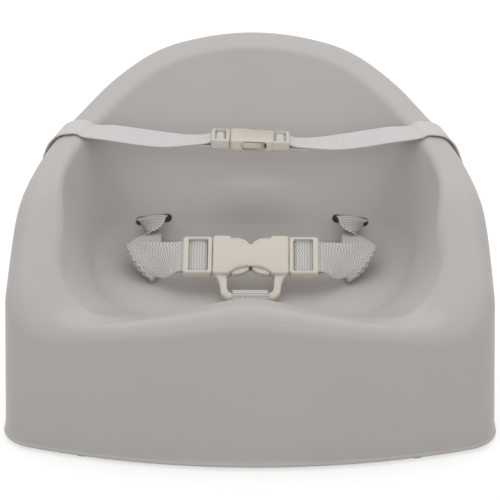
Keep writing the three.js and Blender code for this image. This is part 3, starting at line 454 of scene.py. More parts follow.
def bake(piece: bpy.types.Object) -> None:
    """Apply every modifier of a piece to its mesh."""
    bpy.context.view_layer.update()
    seen = piece.evaluated_get(bpy.context.evaluated_depsgraph_get())
    mesh = bpy.data.meshes.new_from_object(seen)
    old = piece.data
    piece.modifiers.clear()
    piece.data = mesh
    bpy.data.meshes.remove(old)
    mesh.name = piece.name
    finish_mesh(mesh)


def carve(piece: bpy.types.Object, tools: list[bpy.types.Object], operation: str = "DIFFERENCE") -> None:
    """Cut tools out of a piece, or join them to it, and remove the tools.

    Args:
        piece: piece that is cut.
        tools: closed meshes.
        operation: DIFFERENCE, UNION or INTERSECT.
    """
    for tool in tools:
        step = piece.modifiers.new("carve", "BOOLEAN")
        step.operation = operation
        step.solver = "MANIFOLD"
        step.object = tool
    bake(piece)
    for tool in tools:
        mesh = tool.data
        bpy.data.objects.remove(tool)
        bpy.data.meshes.remove(mesh)


def soften(piece: bpy.types.Object, width: float, segments: int) -> None:
    """Round the sharp edges of a piece by a bevel in mm and apply it."""
    step = piece.modifiers.new("edges", "BEVEL")
    step.width = width * MM
    step.segments = segments
    step.limit_method = "ANGLE"
    step.angle_limit = math.radians(BEVEL_DEGREES)
    step.use_clamp_overlap = True
    step.harden_normals = False
    bake(piece)


# ---- finishes


def linear(hex_colour: str) -> tuple[float, float, float, float]:
    """Turn an sRGB hex colour to the linear colour that shaders take."""
    parts = np.array([int(hex_colour[i : i + 2], 16) for i in (1, 3, 5)]) / 255
    low, high = parts / 12.92, ((parts + 0.055) / 1.055) ** 2.4
    return (*np.where(parts <= 0.04045, low, high).tolist(), 1.0)


def add_node(tree: bpy.types.NodeTree, kind: str, settings: dict, links: dict | None = None) -> bpy.types.Node:
    """Add one shader node with its settings and links.

    Args:
        tree: node tree of the material.
        kind: node type.
        settings: properties, or inputs by name or number, with their values.
        links: inputs by name or number, with the output that feeds each.

    Returns:
        The node.
    """
    node = tree.nodes.new(kind)
    for key, value in settings.items():
        if isinstance(key, int) or (not hasattr(node, key) and key in node.inputs):
            node.inputs[key].default_value = value
        else:
            setattr(node, key, value)
    for key, source in (links or {}).items():
        tree.links.new(source, node.inputs[key])
    return node


def new_material(name: str, preview: str) -> tuple[bpy.types.Material, bpy.types.NodeTree]:
    """An empty node material with its viewport colour."""
    material = bpy.data.materials.new(name)
    material.use_nodes = True
    material.node_tree.nodes.clear()
    material.diffuse_color = linear(preview)
    return material, material.node_tree


def noise(
    tree: bpy.types.NodeTree, place: bpy.types.NodeSocket, size: float, detail: float, rough: float = 0.5
) -> bpy.types.NodeSocket:
    """Output of a noise with features of a size in mm."""
    settings = {"Scale": 1 / (size * MM), "Detail": detail, "Roughness": rough}
    return add_node(tree, "ShaderNodeTexNoise", settings, {"Vector": place}).outputs["Fac"]


def mixed(tree: bpy.types.NodeTree, low: str, high: str, factor: bpy.types.NodeSocket) -> bpy.types.NodeSocket:
    """Output of a mix from one sRGB colour to another."""
    settings = {"data_type": "RGBA", 6: linear(low), 7: linear(high)}
    return add_node(tree, "ShaderNodeMix", settings, {0: factor}).outputs[2]


def bumped(
    tree: bpy.types.NodeTree, strength: float, depth: float, height: bpy.types.NodeSocket
) -> bpy.types.NodeSocket:
    """Normal of a bump with a depth in mm."""
    settings = {"Strength": strength, "Distance": depth * MM}
    return add_node(tree, "ShaderNodeBump", settings, {"Height": height}).outputs["Normal"]


def shaded(tree: bpy.types.NodeTree, settings: dict, links: dict) -> None:
    """Lead a principled shader with its settings and links to the material's output."""
    shader = add_node(tree, "ShaderNodeBsdfPrincipled", settings, links)
    add_node(tree, "ShaderNodeOutputMaterial", {}, {"Surface": shader.outputs["BSDF"]})


def seen_directly(tree: bpy.types.NodeTree) -> bpy.types.NodeSocket:
    """Output that is one for camera, glossy and transmission rays and zero for the others."""
    ray = add_node(tree, "ShaderNodeLightPath", {}).outputs
    seen = ray["Is Camera Ray"]
    for kind in ("Is Glossy Ray", "Is Transmission Ray"):
        seen = add_node(tree, "ShaderNodeMath", {"operation": "MAXIMUM"}, {0: seen, 1: ray[kind]}).outputs[0]
    return seen


@dataclass(frozen=True)
class MouldedPlastic:
    """A moulded thermoplastic with the fine grain of a spark-eroded mould.

    Attributes:
        name: common name of the plastic and how its surface was made.
        colour: sRGB colour.
        shade: sRGB colour of its slightly darker drifts.
        roughness: mean roughness.
        ior: index of refraction.
        grain: size of the mould grain in mm.
        grain_depth: depth of the grain in mm.
        drift: size of the soft tone drifts in mm.
        gloss_spread: how far the roughness drifts to both sides of its mean.
    """

    name: str
    colour: str
    shade: str
    roughness: float
    ior: float
    grain: float
    grain_depth: float
    drift: float
    gloss_spread: float = 0.03

    def material(self) -> bpy.types.Material:
        """Build the material on Object coordinates: tone drifts, uneven gloss and a fine grain."""
        material, tree = new_material(self.name, self.colour)
        place = add_node(tree, "ShaderNodeTexCoord", {}).outputs["Object"]
        tone = mixed(tree, self.shade, self.colour, noise(tree, place, self.drift, 3.0))
        low, high = self.roughness - self.gloss_spread, self.roughness + self.gloss_spread
        gloss = add_node(
            tree,
            "ShaderNodeMapRange",
            {"From Min": 0.3, "From Max": 0.7, "To Min": low, "To Max": high},
            {"Value": noise(tree, place, self.drift / 4, 4.0, 0.6)},
        )
        relief = bumped(tree, 0.5, self.grain_depth, noise(tree, place, self.grain, 2.0, 0.55))
        links = {"Base Color": tone, "Roughness": gloss.outputs["Result"], "Normal": relief}
        shaded(tree, {"IOR": self.ior}, links)
        return material


@dataclass(frozen=True)
class HerringboneWebbing:
    """Polyester webbing woven in a herringbone, read from the strap's own UV in mm.

    Attributes:
        name: material name.
        yarn: sRGB colour of the raised warp floats.
        gap: sRGB colour where they dive under the weft, painted shade of the hollows between the floats.
        pitch: length of one float and its gap along the strap in mm, a little over the real 1.4 mm or so,
            so that single floats show.
        row: width of one warp yarn in mm, a little over the real 0.7 mm or so for the same reason.
        relief: height of the floats in mm.
    """

    name: str
    yarn: str
    gap: str
    pitch: float
    row: float
    relief: float

    def material(self) -> bpy.types.Material:
        """Build the weave.

        Warp yarns lie side by side, each a row of floats along the strap. A float is a bump sin(pi t)^0.6
        across its yarn, times a smoothed wave along it. Each row starts a quarter pitch after its neighbour
        and the shift turns back every second row, which gives the herringbone.
        """
        material, tree = new_material(self.name, self.yarn)

        def math_node(operation: str, a: object, b: object = 0.0, c: object = 0.0) -> object:
            """Output of one math node; numbers are set and outputs linked."""
            values = dict(enumerate((a, b, c)))
            plain = {k: v for k, v in values.items() if isinstance(v, (int, float))}
            linked = {k: v for k, v in values.items() if k not in plain}
            return add_node(tree, "ShaderNodeMath", {"operation": operation, **plain}, linked).outputs[0]

        uv = add_node(tree, "ShaderNodeUVMap", {"uv_map": "weave"})
        split = add_node(tree, "ShaderNodeSeparateXYZ", {}, {"Vector": uv.outputs["UV"]})
        across = math_node("MULTIPLY_ADD", split.outputs["X"], 1 / self.row, 0.5)
        number = math_node("FLOOR", across)
        arch = math_node("SINE", math_node("MULTIPLY", math_node("FRACT", across), math.pi))
        crown = math_node("POWER", arch, 0.6)
        shift = math_node("MULTIPLY", math_node("PINGPONG", number, 2.0), 0.25)
        turn = math_node("ADD", math_node("MULTIPLY", split.outputs["Y"], 1 / self.pitch), shift)
        wave = math_node("SINE", math_node("MULTIPLY", turn, 2 * math.pi))
        rise = add_node(
            tree,
            "ShaderNodeMapRange",
            {"interpolation_type": "SMOOTHSTEP", "From Min": -0.75, "From Max": 0.45},
            {"Value": wave},
        )
        height = math_node("MULTIPLY", crown, rise.outputs["Result"])
        place = add_node(tree, "ShaderNodeTexCoord", {}).outputs["Object"]
        fuzz = math_node("SUBTRACT", noise(tree, place, 0.5, 2.0), 0.5)
        seen = math_node("MULTIPLY_ADD", fuzz, 0.35, height)
        # The tone follows the float height plus random fuzz: the gap colour in the low places is painted shade in
        # the weave's hollows.
        tone, normal = mixed(tree, self.gap, self.yarn, seen), bumped(tree, 0.9, self.relief, seen)
        links = {"Base Color": tone, "Normal": normal}
        shaded(tree, {"Roughness": 0.62, "IOR": 1.5, "Sheen Weight": 0.2, "Sheen Roughness": 0.45}, links)
        return material


@dataclass(frozen=True)
class StudioPaper:
    """Pale seamless paper that shows white to the camera, in gloss and through clear pieces.

    Attributes:
        name: material name.
        colour: sRGB colour that takes the object's shadow.
        lift: strength of the white added where the camera looks.
    """

    name: str
    colour: str
    lift: float

    def material(self) -> bpy.types.Material:
        """Build a matt paper with an added glow for camera, glossy and transmission rays only."""
        material, tree = new_material(self.name, self.colour)
        paper = add_node(tree, "ShaderNodeBsdfDiffuse", {"Color": linear(self.colour)})
        power = add_node(
            tree, "ShaderNodeMath", {"operation": "MULTIPLY", 1: self.lift}, {0: seen_directly(tree)}
        )
        glow = add_node(tree, "ShaderNodeEmission", {"Color": linear("#FFFFFF")}, {"Strength": power.outputs[0]})
        both = add_node(tree, "ShaderNodeAddShader", {}, {0: paper.outputs[0], 1: glow.outputs[0]})
        add_node(tree, "ShaderNodeOutputMaterial", {}, {"Surface": both.outputs[0]})
        return material


@dataclass
class Finishes:
    """The finishes of the seat, each made once.

    The shell is moulded polypropylene, satin from a fine spark-eroded mould. The buckles are moulded acetal,
    a little warmer, tighter and glossier. The webbing is woven polyester, finer and paler on the chair strap
    than on the lap harness, sewn with spun polyester thread. The feet are soft TPE rubber, matt and darker.
    The anchor bars are moulded nylon in its natural off-white.
    """

    shell: bpy.types.Material = field(
        default_factory=MouldedPlastic(
            "moulded_polypropylene_satin", "#C2BDBA", "#BDB8B5",
            roughness=0.43, ior=1.49, grain=0.5, grain_depth=0.02, drift=45,
        ).material
    )
    buckle: bpy.types.Material = field(
        default_factory=MouldedPlastic(
            "moulded_acetal_fine", "#D8D1C6", "#D3CCC1",
            roughness=0.36, ior=1.48, grain=0.35, grain_depth=0.01, drift=14,
        ).material
    )
    # Each webbing's second colour is its gap tone, painted shade in the hollows between the floats.
    webbing: bpy.types.Material = field(
        default_factory=HerringboneWebbing(
            "woven_polyester_herringbone", "#E6E4E1", "#A8A5A2", pitch=1.9, row=0.95, relief=0.09
        ).material
    )
    fine_webbing: bpy.types.Material = field(
        default_factory=HerringboneWebbing(
            "woven_polyester_fine_herringbone", "#F0EDEC", "#BFBBB9", pitch=1.6, row=0.8, relief=0.06
        ).material
    )
    foot: bpy.types.Material = field(
        default_factory=MouldedPlastic(
            "moulded_tpe_rubber_matt", "#6D6B69", "#656361",
            roughness=0.8, ior=1.5, grain=0.4, grain_depth=0.03, drift=8,
        ).material
    )
    anchor: bpy.types.Material = field(
        default_factory=MouldedPlastic(
            "moulded_nylon_natural", "#D8D5D0", "#D0CDC8",
            roughness=0.5, ior=1.53, grain=0.4, grain_depth=0.015, drift=10,
        ).material
    )
    thread: bpy.types.Material = field(
        default_factory=MouldedPlastic(
            "spun_polyester_thread", "#D6D4D1", "#C4C2BF",
            roughness=0.7, ior=1.5, grain=0.2, grain_depth=0.03, drift=1.2,
        ).material
    )


# ---- the moulded shell


@dataclass
class SeatShell:
    """The one-piece moulded shell: base outline, rim, bowl, lumbar pad, ribs, foot flanges and slots.

    Sections stand on rays from the bowl's centre; angle 0 is the front and 180 the back, and the two sides
    mirror each other.
    """

    half_width: float = 172.5
    front_bow: float = 470
    corner: float = 28
    length: float = 307
    widest_back: float = 60
    rear_power: float = 2.42
    centre_back: float = 150
    wall: float = 3
    base_height: float = 2.4
    bead_out: float = 1.3
    bead_height: float = 2.4
    draft: float = 2.6
    pan_height: float = 85.4
    pan_rise: float = 1.5
    lumbar_height: float = 112
    lumbar_depth: float = 7
    lumbar_half: tuple = (62, 14, 24)
    lumbar_push: tuple = (0, -0.9, 0.4)
    rim_angles: tuple = (0, 18, 32, 40, 47, 55, 65, 78, 92, 106, 120, 134, 156, 180)
    rim_height: tuple = (118, 110, 102, 96, 93, 107, 130, 153, 158, 164, 172, 187, 208, 215)
    crest_rise: tuple = (-6, -5, -3, 2, 6, 9, 9, 8, 8, 6, 3, -3, -8, -9)
    rim_width: tuple = (34, 31, 26, 22, 27, 39, 38.5, 30, 26.5, 25, 24, 24, 24, 24)
    rim_outer_round: tuple = (29, 27, 25, 23, 26, 32, 42, 46, 40, 29, 16, 10, 8, 8)
    rim_crest_round: tuple = (24, 22, 20, 16, 13, 10, 8, 7, 7, 8, 9, 9, 9, 9)
    pan_angles: tuple = (0, 48, 60, 75, 90, 105, 118, 125, 135, 150, 180)
    pan_radius: tuple = (88, 112, 114, 110, 107, 103, 94, 83, 68, 55, 48)
    crease_angles: tuple = (0, 90, 120, 180)
    crease_round: tuple = (36, 36, 22, 16)
    rib_thickness: float = 2.2
    rib_depth: float = 12
    rib_side: float = 34
    rib_cross: tuple = (118, 165)
    rib_reach: float = 30
    flange_radius: float = 15.5
    flange_thickness: float = 3
    foot_insets: tuple = (("front", 58.5, 27.5), ("rear", 63.5, 59.5))
    foot_hole: float = 4.3
    foot_hole_span: tuple = (-6, 18)
    columns: int = 432
    wall_rows: int = 30
    round_rows: int = 14
    slope_rows: int = 26
    pan_rows: int = 14
    key_spread: float = 2.5

    def __post_init__(self) -> None:
        """Work out the base outline and its angles from the bowl's centre."""
        self.rear_length = self.length - self.widest_back
        self.centre = np.array([0, self.centre_back - self.length / 2])
        corner_x = self.half_width - self.corner
        corner_back = self.front_bow - math.sqrt((self.front_bow - self.corner) ** 2 - corner_x**2)
        tangent = math.atan2(corner_x, self.front_bow - corner_back)
        front = np.linspace(0, tangent, 400, endpoint=False)
        turn = np.linspace(tangent, math.pi / 2, 200, endpoint=False)
        straight = np.linspace(corner_back, self.widest_back, 20, endpoint=False)
        tail = np.linspace(0, math.pi / 2, 900)
        power = 2 / self.rear_power
        x = [
            self.front_bow * np.sin(front),
            corner_x + self.corner * np.sin(turn),
            0 * straight + self.half_width,
            self.half_width * np.abs(np.cos(tail)) ** power,
        ]
        back = [
            self.front_bow * (1 - np.cos(front)),
            corner_back - self.corner * np.cos(turn),
            straight,
            self.widest_back + self.rear_length * np.sin(tail) ** power,
        ]
        x, back = np.concatenate(x), np.concatenate(back)
        x[-1] = 0
        self.edge_angles = np.degrees(np.arctan2(x, self.centre_back - back))
        self.edge_radius = np.hypot(x, self.centre_back - back)
        self.edge_length = np.concatenate([[0], np.cumsum(np.hypot(np.diff(x), np.diff(back)))])

    def base_radius(self, angles: Array) -> Array:
        """Distance of the base edge from the bowl's centre at given angles."""
        return np.interp(angles, self.edge_angles, self.edge_radius)

    def column_angles(self) -> Array:
        """Angles of one half's columns, even along the base edge."""
        along = np.linspace(0, self.edge_length[-1], self.columns // 2 + 1)
        angles = np.interp(along, self.edge_length, self.edge_angles)
        angles[0], angles[-1] = 0, 180
        return angles

    def key(self, keys: tuple, values: tuple, angles: Array) -> Array:
        """An eased key curve at given angles."""
        return eased_at(np.array(keys), np.array(values), angles, self.key_spread)

    def at(self, angles: Array, radius: Array, height: Array) -> Array:
        """Points on rays from the bowl's centre: (r sin a, centre - r cos a, z)."""
        turn = np.radians(angles)
        y = self.centre[1] - radius * np.cos(turn)
        return np.stack([radius * np.sin(turn), y, height + 0 * turn], -1)

    @staticmethod
    def rounding(before: Array, corner: Array, after: Array, radius: Array, steps: int) -> Array:
        """Arcs that round the corners between two straight runs.

        Each arc touches both runs, its radius cut down where the shorter run leaves less room, and is walked
        by spherical steps from its first to its last point.

        Args:
            before: (n, 3) points before the corners.
            corner: (n, 3) corners.
            after: (n, 3) points after them.
            radius: (n,) wished radii.
            steps: steps in each arc.

        Returns:
            (steps + 1, n, 3) points.
        """
        u, v = before - corner, after - corner
        room = 0.48 * np.minimum(np.linalg.norm(u, axis=-1), np.linalg.norm(v, axis=-1))
        u, v = unit(u), unit(v)
        half = np.arccos(np.clip((u * v).sum(-1), -1, 1)) / 2
        reach = np.minimum(radius / np.tan(half), room)
        fitted = reach * np.tan(half)
        centre = corner + unit(u + v) * (fitted / np.sin(half))[:, None]
        start, end = corner + u * reach[:, None] - centre, corner + v * reach[:, None] - centre
        sweep = math.pi - 2 * half
        t = np.linspace(0, 1, steps + 1)[:, None]
        a, b = np.sin((1 - t) * sweep) / np.sin(sweep), np.sin(t * sweep) / np.sin(sweep)
        return centre + a[..., None] * start + b[..., None] * end

    def sections(self, angles: Array) -> Array:
        """The show face at given angles, from the base edge over the rim down to the pan's middle.

        Straight runs join the base edge, the rim's outer corner, its crest, the pan's edge and the pan's
        middle; the three corners between are rounded, and the lumbar pad is added.

        Args:
            angles: (n,) angles in degrees.

        Returns:
            (rows, n, 3) points.
        """
        radius = self.base_radius(angles)
        height = self.base_height + self.key(self.rim_angles, self.rim_height, angles)
        outer_r = radius - (height - self.base_height) * math.tan(math.radians(self.draft))
        crest_r = outer_r - self.key(self.rim_angles, self.rim_width, angles)
        crest_z = height + self.key(self.rim_angles, self.crest_rise, angles)
        foot = self.at(angles, radius, self.base_height)
        outer = self.at(angles, outer_r, height)
        crest = self.at(angles, crest_r, crest_z)
        pan = self.at(angles, self.key(self.pan_angles, self.pan_radius, angles), self.pan_height)
        middle = np.broadcast_to([0, self.centre[1], self.pan_height + self.pan_rise], foot.shape)
        n = self.round_rows
        rim = self.rounding(foot, outer, crest, self.key(self.rim_angles, self.rim_outer_round, angles), n)
        lip = self.rounding(outer, crest, pan, self.key(self.rim_angles, self.rim_crest_round, angles), n)
        crease = self.rounding(crest, pan, middle, self.key(self.crease_angles, self.crease_round, angles), n)

        def run(start: Array, end: Array, steps: int) -> Array:
            """Points of a straight run without its ends."""
            t = np.linspace(0, 1, steps + 1)[1:-1, None, None]
            return start + (end - start) * t

        rows = [
            foot[None], run(foot, rim[0], self.wall_rows), rim, run(rim[-1], lip[0], 3), lip,
            run(lip[-1], crease[0], self.slope_rows), crease, run(crease[-1], middle, self.pan_rows),
            middle[None],
        ]
        return self.with_lumbar(np.concatenate(rows))

    def with_lumbar(self, points: Array) -> Array:
        """Raise the lumbar pad: a cosine-squared swelling over an ellipse of the backrest's front face."""
        x, y, z = points[..., 0], points[..., 1], points[..., 2]
        half_height = np.where(z > self.lumbar_height, self.lumbar_half[1], self.lumbar_half[2])
        far = np.hypot(x / self.lumbar_half[0], (z - self.lumbar_height) / half_height)
        inside = (y > self.centre[1] + self.pan_radius[-1] - self.crease_round[-1]) & (
            y < self.centre[1] + self.rear_length / 2 - 3 * self.wall
        )
        swell = np.where(inside & (far < 1), self.lumbar_depth * np.cos(np.minimum(far, 1) * math.pi / 2) ** 2, 0)
        return points + swell[..., None] * np.array(self.lumbar_push)

    def show_grid(self) -> Array:
        """The whole show face: the right half's columns and their mirror images."""
        right = self.sections(self.column_angles())
        left = right[:, -2:0:-1] * [-1, 1, 1]
        return np.concatenate([right, left], axis=1)

    def outward(self, grid: Array) -> Array:
        """Unit normals of the show face from its neighbours; level at the base and upright at the middle."""
        across = np.roll(grid, -1, axis=1) - np.roll(grid, 1, axis=1)
        along = np.gradient(grid, axis=0)
        normal = np.cross(across, along)
        normal[0, :, 2] = 0
        normal[-1] = [0, 0, 1]
        return unit(normal)

    def bead(self, grid: Array) -> Array:
        """Half-round bead round the base edge: rings pushed out by bead_out sin(pi t) as they rise."""
        first, last = 0.12, 0.88
        t = np.linspace(first, last, 7)[:, None, None]
        flat = unit((grid[0] - [0, self.centre[1], 0]) * [1, 1, 0])
        rise = np.array([0, 0, self.bead_height])
        return grid[0] + rise * (t - first) / (last - first) + flat * self.bead_out * np.sin(math.pi * t)

    def wall_at(self, points: Array) -> Array:
        """Heights above the bead, so that the wall starts where the bead ends."""
        return points[points[:, :, 2].mean(axis=1) > self.base_height + self.bead_height + 0.6]

    def solid(self, name: str, rings: Array, low: Array, top: Array) -> bpy.types.Object:
        """Close a stack of rings with a point below and a point above, as an object."""
        skin = tube_skin(rings, capped=False)
        rows, columns = rings.shape[:2]
        first, last, start = len(skin.points), len(skin.points) + 1, (rows - 1) * columns
        turn = np.arange(columns)
        skin.points = np.concatenate([skin.points, [low, top]])
        skin.faces += np.stack([turn * 0 + first, (turn + 1) % columns, turn], 1).tolist()
        skin.faces += np.stack([start + turn, start + (turn + 1) % columns, turn * 0 + last], 1).tolist()
        return new_object(name, [skin])

    def foot_places(self) -> list[tuple[str, float, float]]:
        """Name, x and y of each foot, set in from the widest side and from the front or rear end."""
        found = []
        for name, inset, end in self.foot_insets:
            y = (self.length / 2 - end) * (-1 if name == "front" else 1)
            found += [(f"{name}_{side.label}", side.value * (self.half_width - inset), y) for side in Side]
        return found

    def ribs(self) -> list[bpy.types.Object]:
        """Ribs under the pan and flanges over the feet, as solid tools."""
        low = self.pan_height - self.wall - self.rib_depth
        high = low + self.half_width
        half = self.rib_thickness / 2
        plans = [(s.value * self.rib_side - half, s.value * self.rib_side + half) for s in Side]
        plans = [(x0, -self.length / 2, x1, self.centre[1] + self.rib_reach) for x0, x1 in plans]
        for back in self.rib_cross:
            y = back - self.length / 2
            plans.append((-self.half_width, y - half, self.half_width, y + half))
        made = [tool(box_skin((x0, y0, low), (x1, y1, high))) for x0, y0, x1, y1 in plans]
        for _, x, y in self.foot_places():
            made.append(tool(self.disc(x, y, self.flange_radius, self.base_height, self.flange_thickness)))
        return made

    @staticmethod
    def disc(x: float, y: float, radius: float, low: float, thickness: float) -> Skin:
        """A round plate with eased edges at a place on the base."""
        ring = wrap_points((x, y), radius, 0, 360, 48)[:-1]
        return plate_skin(ring, low, low + thickness, 0.4)

    @staticmethod
    def slot_tool(
        where: Frame, half_long: float, half_wide: float, low: float, high: float, flare: float
    ) -> bpy.types.Object:
        """A slot cutter in a frame: y along the slot, x across it, z through the wall.

        Its outline is a long rounded rectangle that widens toward its top by flare (z / high)^2, which
        leaves the slot's mouth with a soft lip.

        Args:
            where: frame of the slot.
            half_long: half length.
            half_wide: half width.
            low: z of its lower end.
            high: z of its upper end.
            flare: widening at the upper end.

        Returns:
            The cutter.
        """
        ring = rounded_rect((-half_wide, -half_long), (half_wide, half_long), half_wide * 0.98, 8)
        z = np.linspace(low, high, 24)
        grow = flare * np.clip(z / high, 0, 1) ** 2
        out = unit(ring)
        rings = np.stack([np.insert(ring + out * g, 2, level, axis=1) for g, level in zip(grow, z)])
        return tool(tube_skin(rings).placed(where))

    def build(self, material: bpy.types.Material, slots: list[bpy.types.Object]) -> bpy.types.Object:
        """Build the shell: the outside less the hollow, in which ribs and flanges stay, less slots and holes.

        Args:
            material: its finish.
            slots: cutters of the webbing slots.

        Returns:
            The shell.
        """
        grid = self.show_grid()
        hollow = grid - self.outward(grid) * self.wall
        low = hollow[:1] - [0, 0, self.wall]
        top = np.array([0, self.centre[1], self.pan_height + self.pan_rise])
        shown = np.concatenate([self.bead(grid), self.wall_at(grid[:-1])])
        shell = self.solid("seat_moulding", shown, np.array([0, self.centre[1], self.base_height]), top)
        keep = np.unique(np.concatenate([np.arange(0, len(hollow) - 1, 2), [len(hollow) - 2]]))
        inside = self.solid(
            "hollow_tool", np.concatenate([low, hollow[keep]]), low.mean(axis=1)[0], top - [0, 0, self.wall]
        )
        carve(inside, self.ribs())
        holes = [tool(self.disc(x, y, self.foot_hole, *self.foot_hole_span)) for _, x, y in self.foot_places()]
        carve(shell, [inside] + slots + holes)
        return finished(shell, material)


# ---- webbing


def outward_skin(skin: Skin) -> Skin:
    """The skin with its faces turned outward, by the sign of its volume (sum of corner determinants / 6)."""
    quads = np.array([f for f in skin.faces if len(f) == 4])
    a, b, c, d = (skin.points[quads[:, k]] for k in range(4))
    total = np.einsum("ij,ij->", a, np.cross(b, c)) + np.einsum("ij,ij->", a, np.cross(c, d))
    for cap in (f for f in skin.faces if len(f) != 4):
        ring = skin.points[cap]
        total += np.einsum("j,ij->", ring[0], np.cross(ring[1:-1], ring[2:]))
    if total < 0:
        skin.faces = [f[::-1] for f in skin.faces]
    return skin


@dataclass
class Webbing:
    """A flat strap carried along pairs of edge points.

    Attributes:
        width: woven width.
        thickness: thickness.
        spacing: distance between rings along the strap.
        picot: how far the edge loops of the weft stand out.
        picot_pitch: distance between edge loops.
        curl: share of the full bow that a squeezed stretch takes.
        flat_share: share of the half width at which the round edges begin.
        loop_share: share of the half width beyond which the edge loops stand out.
        stitch_pitch: length of one stitch and its gap.
        stitch_radius: radius of the thread.
        stitch_rise: how far a stitch's middle rises over the face.
        stitch_sink: how far a stitch is sunk into the face.
    """

    width: float
    thickness: float
    spacing: float = 0.5
    picot: float = 0.1
    picot_pitch: float = 1.5
    curl: float = 0.3
    flat_share: float = 0.955
    loop_share: float = 0.96
    stitch_pitch: float = 2.4
    stitch_radius: float = 0.2
    stitch_rise: float = 0.24
    stitch_sink: float = 0.05

    def profile(self) -> Array:
        """Closed cross-section as shares of half width and half thickness: two flat faces, two round edges."""
        flat = np.linspace(-self.flat_share, self.flat_share, 13)
        turn = np.radians(np.linspace(67.5, -67.5, 6))
        right = np.stack([self.flat_share + (1 - self.flat_share) * np.cos(turn), np.sin(turn)], axis=1)
        top, low = np.stack([flat, 0 * flat + 1], 1), np.stack([flat[::-1], 0 * flat - 1], 1)
        return np.concatenate([top, right, low, right[::-1] * [-1, 1]])

    def resample(self, edges: Array) -> tuple[Array, Array]:
        """Edge pairs at even spacing along the strap's middle.

        Args:
            edges: (n, 2, 3) edge pairs.

        Returns:
            The even edge pairs and their distance along the strap.
        """
        dense = catmull_rom(edges, len(edges) * 40)
        middle = dense.mean(axis=1)
        along = np.concatenate([[0], np.cumsum(np.linalg.norm(np.diff(middle, axis=0), axis=1))])
        at = np.linspace(0, along[-1], int(along[-1] / self.spacing) + 1)
        flat = dense.reshape(len(dense), -1)
        even = np.stack([np.interp(at, along, column) for column in flat.T], axis=1)
        return even.reshape(-1, 2, 3), at

    def axes(self, edges: Array) -> tuple[Array, Array, Array]:
        """Middle, half-width vector and unit normal of each edge pair; the normal is along cross across."""
        middle, across = edges.mean(axis=1), (edges[:, 1] - edges[:, 0]) / 2
        return middle, across, unit(np.cross(np.gradient(middle, axis=0), across))

    def skin(self, edges: Array, start: float = 0.0, swell: Array | float = 0.0) -> Skin:
        """Carry the cross-section along edge pairs.

        A point at width share u and thickness share h lies at middle + u across + (h t / 2 + bow (1 - u^2))
        normal, where bow is what a chord shorter than the woven width needs, sqrt(3/8 c (w - c)), times curl.
        The edges stand out by picot cos(2 pi s / pitch). A fold bulges by swell on top of that.

        Args:
            edges: (n, 2, 3) edge pairs, even along the strap.
            start: distance along the strap at the first pair, for the weave.
            swell: further bow at each pair.

        Returns:
            A closed skin with the weave's UV in mm.
        """
        middle, across, normal = self.axes(edges)
        along = start + np.concatenate([[0], np.cumsum(np.linalg.norm(np.diff(middle, axis=0), axis=1))])
        shape = self.profile()
        u, h = shape[None, :, :1], shape[None, :, 1:]
        chord = 2 * np.linalg.norm(across, axis=1)
        bow = self.curl * np.sqrt(0.375 * chord * np.maximum(self.width - chord, 0))
        bell = np.hanning(25)
        bow = np.convolve(np.pad(bow, 12, mode="edge"), bell / bell.sum(), mode="valid") + swell
        edge = 1 + self.picot / chord * 2 * np.cos(2 * math.pi * along / self.picot_pitch)
        share = np.where(np.abs(u) > self.loop_share, u * edge[:, None, None], u)
        lift = h * self.thickness / 2 + bow[:, None, None] * (1 - u**2)
        rings = middle[:, None] + share * across[:, None] + lift * normal[:, None]
        uv = np.stack(np.broadcast_arrays(shape[None, :, 0] * self.width / 2, along[:, None]), axis=-1)
        return outward_skin(tube_skin(rings, uv))

    def stitches(self, edges: Array, rows: list, faces: tuple = (1,)) -> Skin:
        """Rows of lockstitches on the strap's faces.

        Each stitch is a thread that rises from the weave, runs along it and dives again: over the face its
        middle lies at rise sin(pi t) - sink, and its radius is radius sin(pi t)^0.4, for t nearly 0 to 1.

        Args:
            edges: edge pairs, even along the strap.
            rows: for each row the first and last (width share, ring number).
            faces: 1 for the upper face, -1 for the under face.

        Returns:
            One skin of all stitches.
        """
        middle, across, normal = self.axes(edges)
        starts, ends, ups = [], [], []
        for (u0, i0), (u1, i1) in rows:
            a, b = (middle[i] + u * across[i] for u, i in ((u0, i0), (u1, i1)))
            count = max(2, round(float(np.linalg.norm(b - a)) / self.stitch_pitch))
            cut = np.linspace(0, 1, count + 1)
            share = np.stack([cut[:-1] + 0.08 / count, cut[1:] - 0.08 / count], 1)
            ring = i0 + (i1 - i0) * share
            u = u0 + (u1 - u0) * share
            low = np.clip(ring.astype(int), 0, len(edges) - 2)
            part = (ring - low)[..., None]
            place = (middle[low] + u[..., None] * across[low]) * (1 - part) + (
                middle[low + 1] + u[..., None] * across[low + 1]
            ) * part
            for face in faces:
                up = normal[low[:, 0]] * face
                starts.append(place[:, 0] + up * self.thickness / 2)
                ends.append(place[:, 1] + up * self.thickness / 2)
                ups.append(up)
        a, b, up = (np.concatenate(x)[:, None, None] for x in (starts, ends, ups))
        t = np.linspace(0.04, 0.96, 6)[None, :, None, None]
        turn = np.linspace(0, 2 * math.pi, 6, endpoint=False)[None, None, :, None]
        side = unit(np.cross(b - a, up))
        swell = np.sin(math.pi * t)
        round_it = self.stitch_radius * swell**0.4 * (np.cos(turn) * side + np.sin(turn) * up)
        rings = a + (b - a) * t + up * (self.stitch_rise * swell - self.stitch_sink) + round_it
        parts = [outward_skin(tube_skin(one, finish=THREAD)) for one in rings]
        faces_all, start = [], 0
        for part in parts:
            faces_all += [[start + v for v in f] for f in part.faces]
            start += len(part.points)
        return Skin(np.concatenate([p.points for p in parts]), faces_all, np.zeros((start, 2)), THREAD)


def box_rows(share: float, first: int, last: int) -> list:
    """Stitch rows round a sewn box, between two width shares and two ring numbers."""
    corners = [(-share, first), (share, first), (share, last), (-share, last)]
    return list(zip(corners, corners[1:] + corners[:1]))


